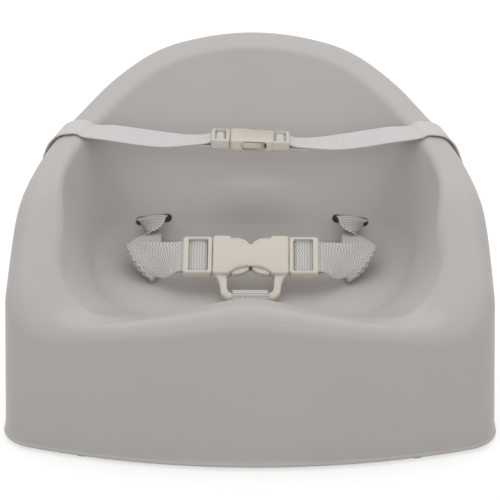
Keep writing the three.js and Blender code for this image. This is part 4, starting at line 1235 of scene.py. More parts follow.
def planar_edges(points: Array, width: float, where: Frame) -> Array:
    """Edge pairs of a strap whose middle line lies in a frame's x-z plane and whose width lies along its y."""
    points = np.asarray(points, float)
    pair = [np.insert(points, 1, side * width / 2, axis=1) for side in (-1, 1)]
    return np.stack([where.place(p) for p in pair], axis=1)


@dataclass(frozen=True)
class LatchSize:
    """Sizes of a latch frame at +x: rails, bars and tongue."""

    inner: float
    outer: float
    middle: float
    height: float
    thickness: float
    rail: float
    outer_bar: float
    inner_bar: float
    bar_x: float
    bar_width: float
    bar_thick: float
    tongue_length: float
    tongue_width: float
    tongue_thick: float


def latch_end_points(
    size: LatchSize, web: Webbing, clear: float, fit: float, tail: float, loose: float = 0.0
) -> Array:
    """Middle line of a strap end in a latch frame: under the outer bar, over and round the bar, and back.

    Args:
        size: the latch.
        web: the strap.
        clear: height of the outer bar's under side.
        fit: room between strap and bars.
        tail: length of the tail beyond the frame.
        loose: how far the turn round the bar stands off it.

    Returns:
        (n, 2) points in the buckle's x-z plane, for the latch at +x.
    """
    lift = fit + web.thickness / 2
    low = -size.bar_thick - lift
    under = clear - lift
    bar_end = size.bar_x + size.bar_width / 2
    outer_start = size.outer - size.outer_bar
    first = [
        [size.outer + 4, under - 1], [size.outer + 0.5, under], [outer_start - 0.5, under], [bar_end + 0.6, lift],
    ]
    wrap = wrap_points(
        (size.bar_x - size.bar_width / 2 + 0.4 - loose, (lift + low) / 2), (lift - low) / 2, 90, 270, 8
    )
    last = [[bar_end, low], [size.outer, low], [size.outer + tail, low - 0.4]]
    return np.concatenate([first, wrap, last])


# ---- buckles


def mirrored_piece(name: str, piece: bpy.types.Object) -> bpy.types.Object:
    """A mirror image in x of a finished piece, faces still outward."""
    mesh = piece.data.copy()
    mesh.name = name
    points = np.empty(len(mesh.vertices) * 3, np.float32)
    mesh.vertices.foreach_get("co", points)
    points[0::3] *= -1
    mesh.vertices.foreach_set("co", points)
    mesh.flip_normals()
    mesh.update()
    copy = bpy.data.objects.new(name, mesh)
    bpy.context.scene.collection.objects.link(copy)
    return copy


def cross_bar(size: LatchSize, start: float, end: float, where: Frame) -> bpy.types.Object:
    """The bar that a strap turns round, as a tool: a rounded section carried along y from start to end."""
    half = size.bar_width / 2
    bar = rounded_rect((size.bar_x - half, -size.bar_thick), (size.bar_x + half, 0), 0.5, 4)
    rings = np.stack([np.stack([bar[:, 0], 0 * bar[:, 0] + y, bar[:, 1]], 1) for y in (start, end)])
    return tool(outward_skin(tube_skin(rings)).placed(where))


def latch_frame(
    name: str, size: LatchSize, clear: float, where: Frame, material: bpy.types.Material
) -> bpy.types.Object:
    """The latch at +x: a frame with a window, an outer bar over the strap, a middle bar and a guide tongue.

    Args:
        name: name of the piece.
        size: its sizes.
        clear: height of the outer bar's under side.
        where: frame of the buckle.
        material: its finish.

    Returns:
        The piece.
    """
    half, mid = size.height / 2, size.middle
    opening = half - size.rail
    inner_end, outer_start = size.inner + size.inner_bar, size.outer - size.outer_bar
    thick = size.thickness
    outline = rounded_rect((size.inner, mid - half), (size.outer, mid + half), 2.4, 8)
    frame_piece = new_object(name, [plate_skin(outline, -thick / 2, thick / 2, 1.3, 5).placed(where)])
    window = rounded_rect((inner_end, mid - opening), (outer_start, mid + opening), 0.9, 4)
    carve(frame_piece, [
        tool(plate_skin(window, -thick, thick, CUT_BEVEL, 1).placed(where)),
        block(where, (outer_start - 1, mid - opening, -thick), (size.outer + 1, mid + opening, clear)),
    ])
    reach = half - size.rail / 2
    tongue_low = (size.inner - size.tongue_length, mid - size.tongue_width / 2)
    tongue = plate_skin(
        rounded_rect(tongue_low, (size.inner + 1, mid + size.tongue_width / 2), 1.2, 5),
        -size.tongue_thick / 2, size.tongue_thick / 2, 0.6,
    )
    carve(frame_piece, [cross_bar(size, mid - reach, mid + reach, where), tool(tongue.placed(where))], "UNION")
    soften(frame_piece, 0.45, 3)
    return finished(frame_piece, material)


@dataclass(frozen=True)
class ArmSize:
    """Sizes of a sprung arm: root, tip and shoulder along x, beam depth, wall inside and pad reach."""

    root: float
    tip: float
    shoulder: float
    beam: float
    wall_inside: float
    pad: float
    thickness: float

    def outline(self) -> Array:
        """Plan of the upper arm at +x, anticlockwise: beam, shoulder and crowned thumb pad."""
        wall, tip, reach = self.wall_inside, self.tip, self.wall_inside + self.pad
        top = wall - 0.5
        low = top - self.beam
        pad = bezier(
            (self.shoulder, wall + self.pad * 0.75), (self.shoulder - 1, reach), (tip + 4.5, reach),
            (tip + 2, wall - 0.1), 18,
        )
        heel = [
            (tip + 0.7, wall - 0.8), (tip, wall - 1.8), (tip, low - 0.6), (tip + 3, low - 1.2),
            (self.shoulder, low), (self.root, low), (self.root, top), (self.shoulder, top),
        ]
        return np.concatenate([pad, heel])

    def skin(self) -> Skin:
        """The arm as a plate with well-rounded edges."""
        return plate_skin(self.outline(), -self.thickness / 2, self.thickness / 2, 0.7, 4)


@dataclass
class LapBuckle:
    """The three-way lap buckle: housing with its crotch loop, two latches and four sprung arms."""

    width: float = 54
    height: float = 31.5
    thickness: float = 9.6
    lift: float = 17.2
    wall: float = 3
    face: float = 1.8
    notch: float = 7
    notch_half: float = 14
    arch: tuple = (15.5, 6.3)
    step: tuple = (13.2, 3.2, 2.6)
    tilt: float = 33
    pivot: tuple = (0, -68.5, 90.2)
    loop_half: float = 21.5
    loop_leg: float = 5.2
    loop_thickness: float = 5
    loop_corner: float = 8
    latch_length: float = 21
    fit: float = 0.3
    strap_clear: float = 1.4

    def __post_init__(self) -> None:
        """Work out the buckle's frame, its latch and its arm."""
        self.frame = Frame.tilted(np.array(self.pivot, float), self.tilt)
        self.middle = self.lift + self.height / 2
        inner = self.width / 2 + self.fit
        outer_bar, inner_bar = 4, 3
        self.latch = LatchSize(
            inner=inner, outer=inner + self.latch_length, middle=self.middle, height=30.4, thickness=8, rail=2.0,
            outer_bar=outer_bar, inner_bar=inner_bar,
            bar_x=inner + (self.latch_length + inner_bar - outer_bar) / 2, bar_width=4, bar_thick=2,
            tongue_length=19, tongue_width=7.6, tongue_thick=3,
        )
        inside = self.height / 2 - self.wall - self.fit
        self.arm = ArmSize(
            root=inner - self.fit, tip=1.2, shoulder=self.notch_half - self.fit, beam=2.6,
            wall_inside=inside, pad=2.9, thickness=5,
        )

    def body_outline(self) -> Array:
        """Plan of the housing, anticlockwise: a rectangle with round corners, a low arch and an upper V notch.

        The notch steps down by the arms' pads first, then slopes to its flat middle.
        """
        half, low, r = self.width / 2, self.lift, 2.2
        high, d = low + self.height, self.notch
        arch_half, arch = self.arch
        step_x, step, flat = self.step
        right_arch = bezier(
            (0, low + arch), (arch_half * 0.85, low + arch), (arch_half - 2.5, low), (arch_half + 2, low), 30
        )
        ledge = high - step
        right_notch = np.concatenate([
            bezier((step_x + 3, high), (step_x + 0.8, high), (step_x + 0.6, ledge), (step_x - 1.5, ledge), 12),
            bezier((step_x - 1.5, ledge), (step_x - 5, ledge), (flat + 4, high - d), (flat, high - d), 20),
        ])
        lower = np.concatenate([right_arch[::-1] * [-1, 1], right_arch])
        upper = np.concatenate([right_notch, right_notch[::-1] * [-1, 1]])
        corners = [
            wrap_points((half - r, low + r), r, -90, 0, 6), wrap_points((half - r, high - r), r, 0, 90, 6),
            wrap_points((r - half, high - r), r, 90, 180, 6), wrap_points((r - half, low + r), r, 180, 270, 6),
        ]
        return np.concatenate([lower, corners[0], corners[1], upper, corners[2], corners[3]])

    def loop_outline(self) -> Array:
        """Plan of the crotch loop's U, anticlockwise: outer edge, then the window's edge back."""
        top, w, r = self.lift + 3, self.loop_half, self.loop_corner
        bar = self.loop_thickness / 2
        window, s = w - self.loop_leg, r - self.loop_leg + 1.5
        outer = np.concatenate([
            bezier((-w - 4.5, top - 2.5), (-w - 1.5, top - 4), (-w, 8), (-w, r - bar), 12),
            wrap_points((r - w, r - bar), r, 180, 270, 10), wrap_points((w - r, r - bar), r, 270, 360, 10),
            bezier((w, r - bar), (w, 8), (w + 1.5, top - 4), (w + 4.5, top - 2.5), 12),
        ])
        inner = np.concatenate([
            [(w + 4.5, top), (window + 0.6, top)], wrap_points((window - s, bar + s), s, 0, -90, 8),
            wrap_points((s - window, bar + s), s, -90, -180, 8), [(-window - 0.6, top), (-w - 4.5, top)],
        ])
        return np.concatenate([outer, inner])

    def housing(self, material: bpy.types.Material) -> bpy.types.Object:
        """Housing: a bevelled body with a tunnel and two waist windows, joined to the loop."""
        half, deep = self.height / 2 - self.wall, self.thickness / 2 - self.face
        reach, n, mid = self.width / 2 + 1, self.notch_half, self.middle
        plate = plate_skin(self.body_outline(), -self.thickness / 2, self.thickness / 2, 1.4, 5)
        body = new_object("lap_buckle_housing", [plate.placed(self.frame)])
        tunnel = ((-reach, mid - half, -deep), (reach, mid + half, deep))
        carve(body, [block(self.frame, *tunnel)])
        loop = plate_skin(self.loop_outline(), -self.loop_thickness / 2, self.loop_thickness / 2, 1.6, 5)
        carve(body, [tool(loop.placed(self.frame))], "UNION")
        tall = self.height / 2 + 1
        carve(body, [
            block(self.frame, *tunnel), block(self.frame, (-n, mid - tall, -deep), (n, mid + tall, deep)),
        ])
        soften(body, 0.35, 2)
        return finished(body, material)

    def build(self, finishes: Finishes) -> None:
        """Build the housing, both latches and the four arms, and set each on its body."""
        settle(self.housing(finishes.buckle), Body.LAP_BUCKLE.value, Slot.BUCKLE, "buckle_housing")
        right = latch_frame("lap_latch_right", self.latch, self.strap_clear, self.frame, finishes.buckle)
        left = mirrored_piece("lap_latch_left", right)
        for side, piece in ((Side.RIGHT, right), (Side.LEFT, left)):
            settle(piece, f"lap_latch_{side.label}", Slot.BUCKLE, f"latch_{side.label}")
            for level, turn in (("upper", 1), ("lower", -1)):
                arm = self.arm.skin()
                arm.points = arm.points * [1, turn, turn] + [0, self.middle, 0]
                arm = arm.placed(self.frame)
                if side is Side.LEFT:
                    arm = arm.mirrored()
                piece = new_object(f"lap_arm_{side.label}_{level}", [arm], [finishes.buckle])
                settle(piece, f"arm_{side.label}_{level}", Slot.BUCKLE, f"latch_{side.label}_arm_{level}")


@dataclass
class ChairBuckle:
    """The chair strap's buckle: tunnel body with a strap bar, latch and two sprung arms."""

    height: float = 28
    thickness: float = 8.4
    body: float = 31.8
    tail: float = 12
    wall: float = 2.6
    face: float = 1.6
    window: tuple = (-7.6, 10.8)
    waist: tuple = (-10.5, 3.2)
    place: tuple = (0, 44.5, 163.4)
    tilt: float = -3
    roll: float = 2
    fit: float = 0.3
    strap_clear: float = 1.3
    rail: float = 1.8

    def __post_init__(self) -> None:
        """Work out the buckle's frame, latch, strap bar and arm."""
        self.frame = Frame.tilted(np.array(self.place, float), self.tilt, self.roll)
        self.mirror_frame = Frame.tilted(np.array(self.place, float), self.tilt, -self.roll)
        self.half = self.body / 2
        inner = self.half + self.fit
        self.latch = LatchSize(
            inner=inner, outer=inner + 14, middle=0, height=self.height - 1.4, thickness=self.thickness - 1,
            rail=self.rail, outer_bar=3, inner_bar=3, bar_x=inner + 7, bar_width=3, bar_thick=1.6,
            tongue_length=17, tongue_width=6.4, tongue_thick=2.6,
        )
        self.bar = LatchSize(
            inner=0, outer=self.half + self.tail, middle=0, height=self.height - 2.4,
            thickness=self.thickness - 1.2, rail=self.rail, outer_bar=3, inner_bar=0,
            bar_x=self.half + (self.tail - 3) / 2, bar_width=3, bar_thick=1.6,
            tongue_length=0, tongue_width=0, tongue_thick=0,
        )
        inside = self.height / 2 - self.wall - self.fit
        self.arm = ArmSize(
            root=self.half, tip=1.2 - self.window[1], shoulder=-self.window[0] - self.fit, beam=2.3,
            wall_inside=inside, pad=2.4, thickness=4.8,
        )

    def build(self, finishes: Finishes) -> None:
        """Build the body, the latch and its arms, and set each on its body."""
        half, deep, outer = self.height / 2, self.thickness / 2 - self.face, self.bar.outer
        inside, gap = half - self.wall, half - 1.2 - self.rail

        def plate(low: tuple, high: tuple, radius: float, thick: float, bevel: float) -> Skin:
            """A bevelled plate in the buckle's frame."""
            outline = rounded_rect(low, high, radius, 8)
            return plate_skin(outline, -thick / 2, thick / 2, bevel, 5).placed(self.frame)

        case = plate((-self.half, -half), (self.half, half), 3, self.thickness, 1.6)
        body = new_object("chair_buckle_body", [case])
        end = plate((self.half - 4, -half + 1.2), (outer, half - 1.2), 2.4, self.thickness - 1.2, 1.2)
        carve(body, [tool(end)], "UNION")
        side_on = Frame(self.frame.origin, self.frame.x, self.frame.z, -self.frame.y)
        oval = rounded_rect((self.window[0], -deep - 1.2), (self.window[1], deep + 0.7), deep * 1.2, 12)
        spans = ((inside - 1.4, half + 4), (-half - 4, 1.4 - inside))
        windows = [tool(plate_skin(oval, *span, CUT_BEVEL, 1).placed(side_on)) for span in spans]
        start, dip = self.waist
        waist = np.concatenate([
            bezier(
                (start, half + 1), (start + 5, half + 1), (start + 6, half - dip), (start + 13, half - dip), 24
            ),
            [(self.half + 1, half - dip), (self.half + 1, half + 3), (start, half + 3)],
        ])
        carve(body, [
            block(self.frame, (-self.half - 1, -inside, -deep), (self.half - 3, inside, deep)),
            *windows,
            tool(plate_skin(waist, -self.thickness, self.thickness, CUT_BEVEL, 1).placed(self.frame)),
            block(self.frame, (self.half, -gap, -self.thickness), (outer - 3, gap, self.thickness)),
            block(self.frame, (outer - 4, -gap, -self.thickness), (outer + 1, gap, self.strap_clear)),
        ])
        carve(body, [cross_bar(self.bar, -gap - 1, gap + 1, self.frame)], "UNION")
        soften(body, 0.35, 2)
        settle(finished(body, finishes.buckle), Body.SEAT.value, Slot.BUCKLE, "chair_buckle")
        mirror = latch_frame("mirror", self.latch, self.strap_clear, self.mirror_frame, finishes.buckle)
        settle(mirrored_piece("chair_buckle_latch", mirror), Body.CHAIR_LATCH.value, Slot.BUCKLE, "chair_latch")
        bpy.data.objects.remove(mirror)
        for level, turn, home in (("rear", 1, Body.ARM_REAR), ("front", -1, Body.ARM_FRONT)):
            arm = self.arm.skin()
            arm.points = arm.points * [1, turn, turn]
            arm = arm.placed(self.mirror_frame).mirrored()
            piece = new_object(f"chair_arm_{level}", [arm], [finishes.buckle])
            settle(piece, home.value, Slot.BUCKLE, f"chair_latch_arm_{level}")


# ---- harness


@dataclass
class LapHarness:
    """Lap belts, crotch strap, their slots and the anchor bars that hold them under the pan."""

    shell: SeatShell
    buckle: LapBuckle
    web: Webbing = field(default_factory=lambda: Webbing(25, 1.4))
    bar_radius: float = 2.6
    bar_overhang: float = 6
    fit: float = 0.45
    slot_gap: float = 1.7
    slot_angle: float = 125
    slot_shift: tuple = (-6.5, 0.2, 10)
    slot_yaw: float = 16.5
    slot_lean: float = 28
    slot_open: float = 12.4
    slot_seen: float = 6.4
    slot_aside: float = 1.4
    slot_depth: float = 10.7
    crotch_back: float = 85
    fold_swell: float = 3.5
    fold_reach: float = 9
    sewn: float = 7
    tail: float = 9
    turn_loose: float = 2.4
    anchor_gap: float = 0.6
    latch_travel: float = 24.0
    path: tuple = (
        ((36.5, 110.5, 13.5), (15.7, 108.5, 17.6)),
        ((34.4, 111.5, 9.4), (18.2, 95.5, 16.8)),
        ((31.8, 109.5, 6.6), (24, 88.5, 15.5)),
        ((22.5, 104.5, 8.1), (29.1, 83.5, 15.5)),
        ((19, 94.5, 9.9), (34.2, 76.5, 15.7)),
        ((18.2, 83.5, 10.6), (38.8, 68.5, 15.9)),
        ((17.4, 70, 9.5), (41.7, 62, 16.2)),
        ((16.6, 56, 7.2), (42.5, 58.6, 16.6)),
        ((17.2, 44, 4.8), (42.2, 57.2, 17)),
        ((20.7, 31, 2.6), (41.6, 56.6, 17.4)),
        ((22.3, 28.5, 4), (42, 55.4, 19.2)),
        ((20.2, 27.6, 6.6), (39.2, 54.4, 21)),
        ((12.7, 22, 8.7), (27.7, 47.5, 25)),
    )

    def __post_init__(self) -> None:
        """Work out the left slot's frame (x down the wall, y along the slot) and the belt's line through it."""
        radius = float(smooth_at(self.shell.pan_angles, self.shell.pan_radius, np.array(self.slot_angle)))
        turn, yaw, lean = (math.radians(a) for a in (self.slot_angle, self.slot_yaw, self.slot_lean))
        back = self.shell.centre[1] - radius * math.cos(turn)
        foot = np.array([-radius * math.sin(turn), back, self.shell.pan_height])
        along = np.array([math.cos(yaw), math.sin(yaw), 0])
        down = np.array([math.sin(yaw) * math.sin(lean), -math.cos(yaw) * math.sin(lean), -math.cos(lean)])
        self.slot = Frame.from_axes(foot + self.slot_shift, down, along)
        self.wrap = self.bar_radius + self.fit + self.web.thickness / 2
        self.slot_top = self.web.thickness / 2 + 1 - self.slot_open / 2

    def slot_tools(self) -> list[bpy.types.Object]:
        """Cutters of the two lap slots and the crotch slot."""
        half = self.web.width / 2 + self.slot_gap
        shift = np.array([(self.slot_seen - self.slot_open) / 2, self.slot_aside, 0])
        lip = Frame.from_axes(self.slot.place(shift), self.slot.x, self.slot.y)
        left = SeatShell.slot_tool(lip, half - 0.3, self.slot_seen / 2, low=-16, high=9, flare=1.0)
        right = mirrored_piece("slot_tool", left)
        where = Frame.from_axes(
            np.array([0, self.crotch_back - self.shell.length / 2, self.shell.pan_height + self.shell.pan_rise]),
            np.array([0, -1.0, 0]), np.array([1.0, 0, 0]),
        )
        gap = self.web.thickness + self.slot_gap + 1
        crotch = SeatShell.slot_tool(where, half, gap, low=-12, high=6, flare=1.2)
        return [left, right, crotch]

    def belt_edges(self) -> Array:
        """Edge pairs of the left belt: hook behind the wall, slot, half twist, fold, run and latch end."""
        top, deep = self.slot_top, -self.slot_depth
        hook = wrap_points((top - self.wrap, deep), self.wrap, 180, 360, 10)
        root = np.concatenate([[[top - 2 * self.wrap, deep + 2.2]], hook, [[top, deep + 4], [top, -2]]])
        first = planar_edges(root, self.web.width, self.slot)
        start = np.array([-self.buckle.latch.outer, self.buckle.pivot[1], self.shell.pan_height])
        free = np.array(self.path) * [-1, 1, 1] + start
        points = latch_end_points(
            self.buckle.latch, self.web, self.buckle.strap_clear, self.fit, self.tail, self.turn_loose
        )
        at = self.buckle.frame
        centred = Frame(at.place(np.array([0, self.buckle.middle + 0.6, 0])), at.x, at.y, at.z)
        end = planar_edges(points * [-1, 1], self.web.width, centred)
        return np.concatenate([first, free, end])

    def belt(self, side: Side, finishes: Finishes) -> None:
        """Build one belt in three pieces that meet ring on ring: slot to fold, fold to latch, latch end."""
        edges, at = self.web.resample(self.belt_edges())
        middle = edges.mean(axis=1)
        mouth = int(np.argmax((middle - self.slot.origin) @ self.slot.z > 0))
        fold = mouth + int(np.argmin(middle[mouth:, 0]))
        latch_x = -(self.buckle.latch.outer + 4)
        entry = fold + int(np.argmax(middle[fold:, 0] > latch_x))
        swell = self.fold_swell * np.exp(-(((at - at[fold]) / self.fold_reach) ** 2))
        parts = {
            "slot": [self.web.skin(edges[: fold + 1], 0, swell=swell[: fold + 1])],
            "run": [self.web.skin(edges[fold : entry + 1], at[fold], swell=swell[fold : entry + 1])],
            "end": [self.web.skin(edges[entry:], at[entry])],
        }
        rows = box_rows(0.8, 3, int(self.sewn / self.web.spacing))
        parts["slot"].append(self.web.stitches(edges[: fold + 1], rows, (1, -1)))
        last = len(edges) - 1 - entry
        rows = [((-0.86, last - 3), (0.86, last - 3)), ((0.86, last - 7), (-0.86, last - 7))]
        parts["end"].append(self.web.stitches(edges[entry:], rows))
        body = f"lap_latch_{side.label}"
        for part, skins in parts.items():
            if side is Side.RIGHT:
                skins = [skin.mirrored() for skin in skins]
            piece = new_object(f"lap_belt_{side.label}_{part}", skins, [finishes.webbing, finishes.thread])
            if part == "slot":
                self.world(self.slot.origin, side)
                self.world(middle[fold], side)
                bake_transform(piece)
                log.info("%s: %d faces from seat to lap_buckle", piece.name, len(piece.data.polygons))
            else:
                settle(piece, body, Slot.WEBBING)
            if part == "run":
                anchor = self.world(np.array([latch_x, 0, 0]), side)
                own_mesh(piece)
            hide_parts(f"lap_belt_{side.label}")

    @staticmethod
    def world(point: Array, side: Side) -> tuple:
        """A point on the left in metres, mirrored for the right side."""
        sign = 1 if side is Side.LEFT else -1
        return (sign * float(point[0]) * MM, float(point[1]) * MM, float(point[2]) * MM)

    def crotch_strap(self, finishes: Finishes) -> None:
        """The crotch loop round the buckle's bar and the crotch anchor bar."""
        pivot = np.array(self.buckle.pivot, float)
        thick = self.web.thickness
        inner = self.buckle.loop_thickness / 2 + 1.3 + thick / 2
        low = self.wrap
        low_z = self.crotch_anchor_height() - pivot[2]
        neck = 0.5 + thick / 2
        top = wrap_points((0, 0), inner, -35, 215, 24)
        under = wrap_points((0, low_z), low, 140, 400, 24)
        high_end, low_end = -inner - 1.3, low_z + low + 1.2
        line = np.concatenate([
            top, [[-neck, high_end], [-neck, low_end]], under, [[neck, low_end], [neck, high_end]], top[:1],
        ])
        where = Frame.from_axes(pivot, np.array([0, 1.0, 0]), np.array([-1.0, 0, 0]))
        edges, _ = self.web.resample(planar_edges(line, self.web.width, where))
        skin = self.web.skin(edges[:-1])
        piece = new_object("crotch_strap_loop", [skin], [finishes.webbing, finishes.thread])
        settle(piece, Body.SEAT.value, Slot.WEBBING, "crotch_strap")

    def crotch_anchor_height(self) -> float:
        """Height of the crotch anchor bar's middle, below the pan."""
        return self.shell.pan_height - self.shell.wall - self.bar_radius - self.anchor_gap

    def bar(self, web: Webbing) -> Skin:
        """An anchor bar along y: a round rod with eased ends."""
        half = web.width / 2 + self.slot_gap + self.bar_overhang
        turn = np.radians(np.linspace(-90, 0, 9))
        r = self.bar_radius
        end = np.stack([r * np.cos(turn), r - half + r * np.sin(turn)], 1)
        profile = np.concatenate([end, end[::-1] * [1, -1]])
        skin = lathe_skin(profile, 28)
        skin.points = skin.points[:, [0, 2, 1]] * [1, 1, -1]
        return skin

    def side_anchor(
        self, kind: str, side: Side, web: Webbing, shift: tuple, where: Frame, finishes: Finishes
    ) -> None:
        """Set the anchor bar of one side: shifted in its left slot's frame, and mirrored for the right."""
        rod = self.bar(web)
        rod.points = rod.points + np.array(shift)
        rod = rod.placed(where)
        rod = rod.mirrored() if side is Side.RIGHT else rod
        piece = new_object(f"{kind}_anchor_bar_{side.label}", [rod], [finishes.anchor])
        settle(piece, Body.SEAT.value, Slot.ANCHOR, f"{kind}_anchor_{side.label}")

    def anchors(self, finishes: Finishes) -> None:
        """Anchor bars of both lap belts and the crotch strap."""
        shift = (self.slot_top - self.wrap, 0, -self.slot_depth)
        for side in Side:
            self.side_anchor("lap", side, self.web, shift, self.slot, finishes)
        place = np.array([0, self.buckle.pivot[1], self.crotch_anchor_height()])
        where = Frame.from_axes(place, np.array([0, -1.0, 0]), np.array([1.0, 0, 0]))
        piece = new_object("crotch_anchor_bar", [self.bar(self.web).placed(where)], [finishes.anchor])
        settle(piece, Body.SEAT.value, Slot.ANCHOR, "crotch_anchor")

    def build(self, finishes: Finishes) -> None:
        """Build belts, crotch strap and anchor bars."""
        for side in Side:
            self.belt(side, finishes)
        self.crotch_strap(finishes)
        self.anchors(finishes)


@dataclass
class ChairStrap:
    """The strap that ties the seat to a chair: out of the side walls, over the rim and across the backrest."""

    shell: SeatShell
    buckle: ChairBuckle
    harness: LapHarness
    web: Webbing = field(default_factory=lambda: Webbing(20, 1.3))
    angle: float = 110
    height: float = 52
    bow: float = 14
    sag: float = 5
    tilt: float = 15
    tails: tuple = (8, 14)

    def __post_init__(self) -> None:
        """Work out the left slot's frame, from the wall's base edge and the height of the slot."""
        sections = self.shell.sections(np.array([self.angle, self.angle + 4]))
        low, high = sections[0, 0], sections[self.shell.wall_rows, 0]
        place = low + (high - low) * (self.height - low[2]) / (high[2] - low[2])
        along = unit((sections[0, 1] - low) * [1, 1, 0])
        self.slot = Frame.from_axes(
            place * [-1, 1, 1], np.array([-along[1], -along[0], 0]), np.array([along[0], -along[1], 0])
        )
        self.wrap = self.harness.bar_radius + self.harness.fit + self.web.thickness / 2
        self.depth = -(self.shell.wall + self.harness.bar_radius + 2 * self.harness.fit + 1)

    def slot_tools(self) -> list[bpy.types.Object]:
        """Cutters of the two wall slots."""
        half, gap = (size / 2 + self.harness.slot_gap for size in (self.web.width, self.web.thickness))
        where = Frame(self.slot.origin, -self.slot.z, self.slot.y, self.slot.x)
        left = SeatShell.slot_tool(where, half, gap, low=-14, high=6, flare=1.0)
        return [left, mirrored_piece("slot_tool", left)]

    def over_wall(self) -> Array:
        """Edge pairs up the outside of the left wall and over its crest, with a slack bow in the middle."""
        turns = np.array([self.angle - 2, self.angle, self.angle + 2])
        sections = self.shell.sections(turns)
        before, section, after = (sections[:, k] for k in range(3))
        slot_z = self.slot.origin[2]
        n = self.shell.round_rows
        crest = self.shell.wall_rows + n + 3 + n // 2
        rows = np.array([j for j in range(1, crest + 4) if section[j, 2] > slot_z + 14])[::3]
        along = unit(section[rows + 1] - section[rows - 1])
        across = before[rows] - after[rows]
        across = unit(across - (across * along).sum(-1, keepdims=True) * along)
        normal = np.cross(along, across)
        level = np.clip((section[rows, 2] - slot_z) / (section[crest, 2] - slot_z), 0, 1)
        point = section[rows] + normal * (self.web.thickness / 2 + 1)
        point[:, 0] += self.bow * np.sin(math.pi * level) ** 2
        pair = [point + across * side * self.web.width / 2 for side in (-1, 1)]
        return np.stack(pair, axis=1) * [-1, 1, 1]

    def hung(self, start: Array, end: Array) -> Array:
        """Edge pairs across the backrest, from the rim to the buckle.

        The middle sags by sag t sin(pi t). The width keeps the strap's own tilt for most of the way and turns
        to the buckle's tilt at the end.

        Args:
            start: last edge pair on the rim.
            end: first edge pair at the buckle.

        Returns:
            (4, 2, 3) edge pairs.
        """
        t = np.array([0.2, 0.42, 0.64, 0.84])[:, None]
        first, last = start[1] - start[0], end[1] - end[0]
        lean = math.radians(self.tilt)
        level = np.array([0, -math.cos(lean), -math.sin(lean)]) * self.web.width
        fall = np.array([0, 0, self.sag]) * np.sin(math.pi * t) * t
        middle = start.mean(0) * (1 - t) + end.mean(0) * t - fall
        rise = np.clip((t - 0.5) * 2, 0, 1)
        own = first + (level - first) * np.minimum(1, t / 0.3)
        half = unit(own + (last - own) * rise**2 * (3 - 2 * rise)) * self.web.width / 2
        return np.stack([middle - half, middle + half], axis=1)

    def edges(self, size: LatchSize, tail: float, where: Frame) -> Array:
        """Edge pairs of the left half: hook inside the wall, slot, outside, rim, span and buckle end.

        Args:
            size: latch or strap bar that the end goes round.
            tail: length of the sewn tail.
            where: frame of the buckle.

        Returns:
            (n, 2, 3) edge pairs.
        """
        hook = wrap_points((self.depth, -self.wrap), self.wrap, 270, 90, 10)
        root = np.concatenate([[[self.depth + 3.4, -2 * self.wrap]], hook, [[self.depth + 3, 0], [2, 0]]])
        first = planar_edges(root, self.web.width, self.slot)
        outside = self.over_wall()
        points = latch_end_points(size, self.web, self.buckle.strap_clear, self.harness.fit, tail)
        end = planar_edges(points * [-1, 1], self.web.width, where)[:, ::-1]
        return np.concatenate([first, outside, self.hung(outside[-1], end[0]), end])

    def build(self, finishes: Finishes) -> None:
        """Build both halves and their anchor bars."""
        halves = (
            (Side.LEFT, self.buckle.latch, self.tails[0], self.buckle.frame),
            (Side.RIGHT, self.buckle.bar, self.tails[1], self.buckle.mirror_frame),
        )
        for side, size, tail, where in halves:
            edges, _ = self.web.resample(self.edges(size, tail, where))
            skins = [self.web.skin(edges)]
            last = len(edges) - 1
            if side is Side.RIGHT:
                rows = box_rows(0.8, last - 3, last - 19)
            else:
                rows = [((-0.86, last - 3), (0.86, last - 3))]
            skins.append(self.web.stitches(edges, rows, (1, -1)))
            skins = [skin.mirrored() for skin in skins] if side is Side.RIGHT else skins
            piece = new_object(f"chair_strap_{side.label}_web", skins, [finishes.fine_webbing, finishes.thread])
            if side is Side.LEFT:
                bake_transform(piece)
                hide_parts("chair_strap_left")
                log.info("%s: %d faces from seat to chair_latch_body", piece.name, len(piece.data.polygons))
            else:
                settle(piece, Body.SEAT.value, Slot.WEBBING, "chair_strap_right")
            shift = (self.depth, 0, -self.wrap)
            self.harness.side_anchor("chair", side, self.web, shift, self.slot, finishes)


@dataclass
class GripFeet:
    """Four soft feet: a pad with tread rings below the flange, a stem through it and a head that holds it."""

    shell: SeatShell
    pad: float = 11
    stem: float = 4
    head: float = 6
    head_height: float = 2
    fit: float = 0.3

    def profile(self) -> Array:
        """Radius and height from the tread to the head, with a rounded pad edge and three tread rings."""
        pad_top = self.shell.base_height - self.fit
        flange = self.shell.base_height + self.shell.flange_thickness + self.fit
        tread = [
            (0, 0.5), (2.0, 0.5), (2.3, 0.0), (3.6, 0.0), (3.9, 0.5), (5.2, 0.5),
            (5.5, 0.0), (6.8, 0.0), (7.1, 0.5), (8.4, 0.5), (8.7, 0.0), (10.0, 0.0),
        ]
        side = wrap_points((self.pad - 1, 1.0), 1.0, -70, 0, 5).tolist()
        top = flange + self.head_height
        upper = [
            (self.pad, pad_top - 0.3), (self.pad - 0.3, pad_top), (self.stem, pad_top), (self.stem, flange),
            (self.head, flange), (self.head, flange + 0.5), (self.stem, top), (0, top),
        ]
        return np.array(tread + side + upper)

    def build(self, finishes: Finishes) -> None:
        """Build the feet at their places."""
        for name, x, y in self.shell.foot_places():
            skin = lathe_skin(self.profile(), 64)
            skin.points = skin.points + [x, y, 0]
            piece = new_object(f"grip_foot_{name}", [skin], [finishes.foot])
            settle(piece, Body.SEAT.value, Slot.FOOT, f"foot_{name}")


# ---- studio


